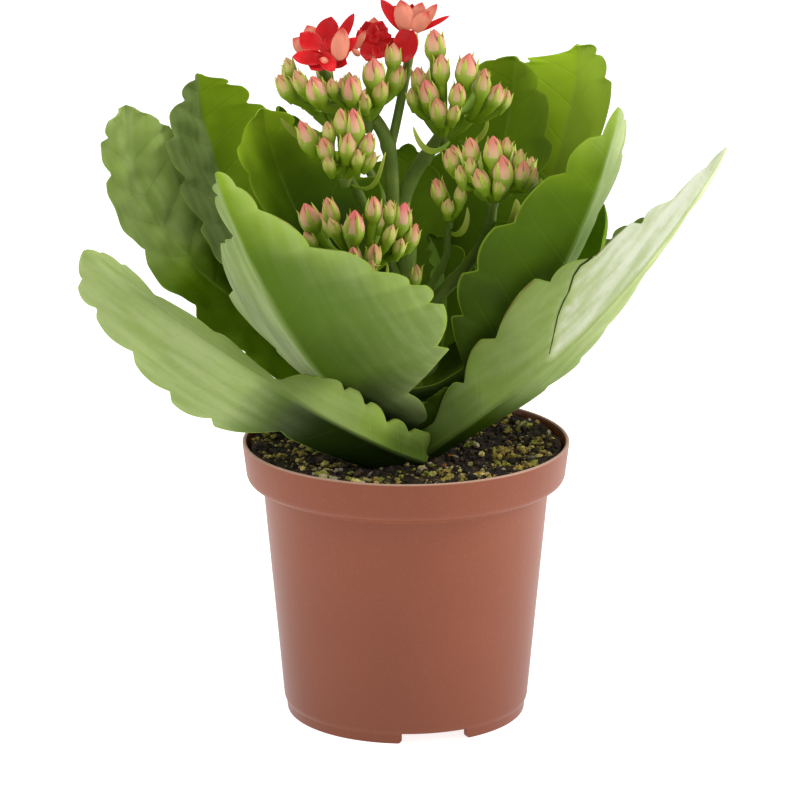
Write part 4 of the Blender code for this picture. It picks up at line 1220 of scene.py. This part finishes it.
# Each flower: centre, the way it faces, where its stalk starts, and petals. A petal runs from its
# base to its tip, given as (right, up, near) of the centre; then half width, how far it bows out
# and which side the front shows: 1 the red inner side, -1 the salmon back.
flowerShapes = {
    "flower_left": dict(centre=(-26.2, -5, 217.5), face=(-0.1, -0.75, 0.65), foot=(-16, 1, 197), petals=[
        (0.4, 0, -1, 2.9, 9.3, -3, 3.8, 1.2, 1), (-0.8, -0.4, 0, -6.6, 4.6, -1, 3.2, 1.0, 1),
        (-3.5, -1.5, -1, -8.9, 2.7, -2, 2.6, 0.8, -1), (-2, 1, -2, -4.6, 6.4, -4, 2.6, 1.0, -1),
        (0.5, -2.6, 1.5, -8.9, -1.8, 4, 2.4, 1.2, 1), (0, -1.4, 2, 3.9, -5.8, 5.5, 2.3, 1.0, 1),
        (2.0, -3.6, 1.5, 10.9, 3.7, 2, 2.2, 1.2, 1), (4, 0, -1, 9.9, 10.5, -2.5, 1.8, 0.8, 1),
        (5, -3, 3.2, 6.6, 7.0, 3, 2.8, 1.2, -1), (1.5, -1, 2, -1.6, 2.6, 3, 1.1, 0.4, 1),
        (0, -3, 2.5, -2.4, -1.0, 3.6, 1.0, 0.3, 1), (2, -3.4, 3, -0.6, -2.4, 4.6, 1.0, 0.3, -1),
        (0, -1.5, 0.5, -3.2, -6.0, 3, 3.4, 1.0, 1), (1, -2, 0, 7.6, -4.6, 1, 2.8, 1.0, 1),
        (2, -1, 1, 6, 4, -5, 3.2, 1.0, 1), (-1, 0, -2, -3, 5, -7.5, 3.4, 1.0, 1),
        (1, 0, -2, 3, 3.5, -9, 3.4, 1.0, 1), (-2, -1, -1, -7, 1, -6, 3.0, 1.0, 1),
        (3, -2, 0, 8.5, -1, -4, 2.8, 1.0, 1)]),
    "flower_middle": dict(centre=(-10.4, 4, 219), face=(0.1, -0.5, 0.85), foot=(-11, 1, 197), petals=[
        (0, -1, -1, -2.2, 4.9, -2, 2.9, 1.0, 1), (0, -1, -1, 2.9, 5.0, -2, 3.0, 1.0, 1),
        (0, 0, -2.5, 0.4, 5.8, -4, 2.2, 0.8, -1), (0, -2, 0, 5.6, 1.3, 1, 2.5, 1.0, 1),
        (1, -3, 0, 8.6, -0.6, 0, 1.9, 0.8, 1), (-1, -4, 1, -4.5, 2.7, 1, 2.4, 1.0, 1),
        (-5.8, -2.8, 3.5, -2.2, 3.2, 4, 1.2, 0.6, -1), (0, -1.6, 2, -2.0, -6.0, 4.5, 3.2, 1.2, 1),
        (1, -2, 2, 3.9, -4.7, 4.5, 2.6, 1.0, 1), (-4, -4.6, 4, -6.6, -2.4, 5, 1.0, 0.4, -1),
        (0, -1, 1, 0.8, 1.8, 2.0, 1.5, 0.5, 1), (0, -1, -2, 4.5, 2, -7, 3.0, 1.0, 1),
        (0, -1, -2, -4, 2, -7, 3.0, 1.0, 1), (0, -1, -2, 0, 3, -9, 3.0, 1.0, 1)]),
    "flower_right": dict(centre=(1.3, 5, 221.5), face=(0.1, -0.05, 1.0), foot=(-5.2, 2, 183), petals=[
        (-1.8, 0, 0, -9.1, 9.3, -1, 2.1, 1.4, 1), (-1.0, 0, 1, -3.0, 9.6, 1.4, 3.1, 0.8, -1),
        (0.8, 0.6, 0, 3.7, 8.4, -1, 2.6, 0.8, -1), (1.2, 0, 2, 5.6, 6.2, 2.6, 2.4, 0.9, -1),
        (2.0, 0, 0.5, 8.3, 8.1, 0, 1.9, 0.9, -1), (2.6, -0.3, 0, 12.2, 4.5, 0, 0.9, 0.4, 1),
        (-1.0, 0.4, 2, -1.9, -9.3, 4.8, 3.8, 1.5, 1), (0, 1, -1, 0.6, 7.9, -1.5, 1.9, 0.4, 1),
        (-1, 1, -2, -5, 6.5, -5.5, 3.0, 1.0, 1), (1, 1, -2, 4.5, 6, -6, 3.0, 1.0, 1),
        (0, 0, -2, 0, 4, -8.5, 3.0, 1.0, 1)]),
}
# what holds the petals, as places from the flower's centre, and its four sepals
flowerCup = dict(foot=(0, 1.5, -7), back=(0, 2.5, -2.5), radii=[1.2, 2.2, 2.4, 1.4], stalkRadius=1.5,
                 sepalLength=6.5, sepalRadius=2.6, sepalSpread=1.0)
petalRows = [0.0, 0.08, 0.18, 0.30, 0.42, 0.54, 0.66, 0.77, 0.87, 0.95]
petalColumns = [-1, -0.8, -0.5, -0.2, 0.2, 0.5, 0.8, 1]


def addPetal(flower, centre, petal, chance):
    base = centre + Vector((petal[0], -petal[2], petal[1]))
    end = centre + Vector((petal[3], -petal[5], petal[4]))
    half, bow, shows = petal[6:]
    along = (end - base).normalized()
    inner = Vector((0, -1, 0.25)) * shows
    inner = (inner - inner.dot(along) * along).normalized()
    side = inner.cross(along).normalized()
    control = (base + end) / 2 - inner * bow * 1.6
    tone = (chance.uniform(-0.2, 0.2), 0, 0)
    twist = chance.uniform(-0.15, 0.15)
    phase = chance.uniform(0, 6)
    tops = []
    lows = []
    for share in petalRows:
        place = (1 - share) ** 2 * base + 2 * share * (1 - share) * control + share ** 2 * end
        width = half * 2.15 * (share + 0.10) ** 0.62 * (1 - share) ** 0.62
        top = []
        low = []
        for column in petalColumns:
            cup = 0.42 * half * column * column * math.sin(math.pi * min(1, share + 0.2))
            lean = twist * column * width
            ruffle = 0.07 * half * math.sin(4 * column + 8 * share + phase) * share
            point = place + side * column * width + inner * (cup + lean + ruffle)
            thick = 0.16 * (1 - column * column)
            if abs(column) == 1:
                corner = flower.point(point, (column, share, 0.5), tone)
                top.append(corner)
                low.append(corner)
            else:
                top.append(flower.point(point + inner * thick, (column, share, 1), tone))
                low.append(flower.point(point - inner * thick, (column, share, 0), tone))
        tops.append(top)
        lows.append(low)
    count = len(petalColumns)
    for i in range(len(tops) - 1):
        for k in range(count - 1):
            flower.face((tops[i][k + 1], tops[i][k], tops[i + 1][k], tops[i + 1][k + 1]))
            flower.face((lows[i][k], lows[i][k + 1], lows[i + 1][k + 1], lows[i + 1][k]))
    tip = flower.point(end + along * 0.35, (0, 1, 0.5), tone)
    for k in range(count - 1):
        flower.face((tops[-1][k + 1], tops[-1][k], tip))
        flower.face((lows[-1][k], lows[-1][k + 1], tip))
    flower.face(tuple(tops[0] + list(reversed(lows[0][1:-1]))))


def makeFlower(node, shape, seed):
    chance = random.Random(seed)
    flower = Sculpt()
    centre = Vector(shape["centre"])
    face = Vector(shape["face"]).normalized()
    side = face.orthogonal().normalized()
    other = face.cross(side)
    for petal in shape["petals"]:
        addPetal(flower, centre, petal, chance)
    cup = flowerCup
    foot = centre + Vector(cup["foot"])
    back = centre + Vector(cup["back"])
    flower.rod([foot, foot + upward * 2, back - upward, back], cup["radii"], 14, 1)
    for k in range(budMake["sepals"]):
        out = around(side, other, math.pi / 2 * (k + 0.3))
        addSepal(flower, back - upward * 4, (back - foot).normalized(), out, cup["sepalLength"],
                 cup["sepalRadius"], cup["sepalSpread"], (0, 0, 0))
    stalk = bendPath(Vector(shape["foot"]), foot, 1.2, 8)
    flower.rod(stalk, [cup["stalkRadius"]] * len(stalk), 12, 2)
    piece = flower.finish(node + "_petals", [petalSkin, calyxSkin, stalkSkin], 70)
    standFor(piece, node)
    return piece


for number, (flowerNode, flowerShape) in enumerate(flowerShapes.items()):
    makeFlower(flowerNode, flowerShape, 90 + number)
print("flowers opened:", len(flowerShapes))


# bracts

# Each bract: four points that it runs through, and its half width.
bractShapes = {
    "bract_top_left": ([(-22, 3, 192), (-30, 3, 187), (-36, 2, 190), (-40, 1, 195)], 1.7),
    "bract_top_right": ([(14, 1, 187), (8, -3, 184), (4, -5, 188), (2, -6, 194)], 1.3),
    "bract_top_right_small": ([(16, 3, 187), (21, 2, 186), (25, 2, 190), (25, 2, 196)], 1.2),
    "bract_right": ([(27, -10, 163), (36, -12, 162), (41, -14, 170), (42, -15, 180)], 4.2),
    "bract_right_front": ([(26, -12, 158), (31, -18, 158), (34, -22, 166), (34, -23, 175)], 3.4),
    "bract_right_low": ([(14, -10, 160), (17, -12, 160), (19, -13, 164), (19, -14, 170)], 1.4),
    "bract_front": ([(-12, -23, 148), (-8, -27, 145), (-6, -29, 149), (-6, -29, 156)], 1.2),
    "bract_mid_left": ([(-18, -11, 176), (-11, -10, 174), (-8, -11, 180), (-6, -11, 187)], 1.0),
}
bractOutline = [(0.0, 0.45), (0.15, 0.75), (0.35, 1.0), (0.55, 0.95), (0.72, 0.75), (0.87, 0.45)]
bractSection = [(-1, 0), (-0.5, 0.30), (0, 0.36), (0.5, 0.30), (1, 0), (0.5, -0.30), (0, -0.42),
                (-0.5, -0.30)]


def makeBract(node, points, half):
    bract = Sculpt()
    path = [curveThrough(points, share) for share, _ in bractOutline] + [curveThrough(points, 1.0)]
    rings = []
    for (share, width), place, (direction, _, _) in zip(bractOutline, path, steadyFrames(path)):
        across = direction.cross(Vector((0, -1, 0))).normalized()
        facing = across.cross(direction).normalized()
        ring = []
        for sideways, lift in bractSection:
            cup = 0.35 * half * sideways * sideways
            point = place + across * half * width * sideways + facing * (lift + cup)
            ring.append(bract.point(point, (sideways, share, 0)))
        rings.append(ring)
    for low, high in zip(rings, rings[1:]):
        bract.skin(low, high)
    bract.skin(rings[-1], [bract.point(path[-1], (0, 1, 0))])
    bract.face(tuple(reversed(rings[0])))
    smooth = bract.finish(node + "_strip", [calyxSkin], 80)
    rounder = smooth.modifiers.new("rounder", "SUBSURF")
    rounder.levels = 1
    rounder.render_levels = 1
    standFor(smooth, node)
    return smooth


for bractNode, (bractPoints, bractHalf) in bractShapes.items():
    makeBract(bractNode, bractPoints, bractHalf)
print("bracts set:", len(bractShapes))


# floor, light and camera

studio = dict(
    floorReach=6.0, floorColour=(0.60, 0.60, 0.60), floorGlow=0.85,
    surround=(1.0, 1.0, 1.0), surroundStrength=0.46,
    lamps=[  # name, place, aim, width, height, power
        ("topSoftbox", (-0.15, -0.25, 1.40), (0, 0.1, 0.15), 1.0, 1.0, 8.0),
        ("rightSoftbox", (1.20, -0.15, 0.60), (0, 0, 0.14), 0.5, 1.1, 13.0),
        ("leftSoftbox", (-1.20, -0.20, 0.50), (0, 0, 0.14), 0.5, 1.1, 5.0)])
cameraSet = dict(place=(-0.0019, -1.340, 0.472), tilt=15.41, lens=195.8, sensor=36.0)


def makeStudio(setup):
    floorMesh = bpy.data.meshes.new("studioFloor")
    reach = setup["floorReach"]
    corners = [(-reach, -reach, 0), (reach, -reach, 0), (reach, reach, 0), (-reach, reach, 0)]
    floorMesh.from_pydata(corners, [], [(0, 1, 2, 3)])
    f = Finish("studioFloor")
    f.set("Base Color", setup["floorColour"])
    f.set("Roughness", 0.8)
    f.set("Emission Color", (1.0, 1.0, 1.0))
    f.set("Emission Strength", setup["floorGlow"])
    floorMesh.materials.append(f.material)
    addObject("studioFloor", floorMesh)
    world = bpy.data.worlds.new("studioSurround")
    world.use_nodes = True
    shade = world.node_tree.nodes["Background"]
    shade.inputs["Color"].default_value = (*setup["surround"], 1)
    shade.inputs["Strength"].default_value = setup["surroundStrength"]
    bpy.context.scene.world = world
    for name, place, target, width, height, power in setup["lamps"]:
        lamp = bpy.data.lights.new(name, "AREA")
        lamp.shape = "RECTANGLE"
        lamp.size = width
        lamp.size_y = height
        lamp.energy = power
        holder = addObject(name, lamp)
        holder.location = place
        holder.rotation_euler = (Vector(place) - Vector(target)).to_track_quat("Z", "Y").to_euler()


def makeCamera(setup):
    lens = bpy.data.cameras.new("studioCamera")
    lens.lens = setup["lens"]
    lens.sensor_width = setup["sensor"]
    lens.clip_start = 0.05
    lens.clip_end = 50
    camera = addObject("studioCamera", lens)
    camera.location = setup["place"]
    camera.rotation_euler = (math.radians(90 - setup["tilt"]), 0, 0)
    bpy.context.scene.camera = camera


makeStudio(studio)
makeCamera(cameraSet)
bpy.context.scene.view_settings.view_transform = "Standard"
print("studio lit")
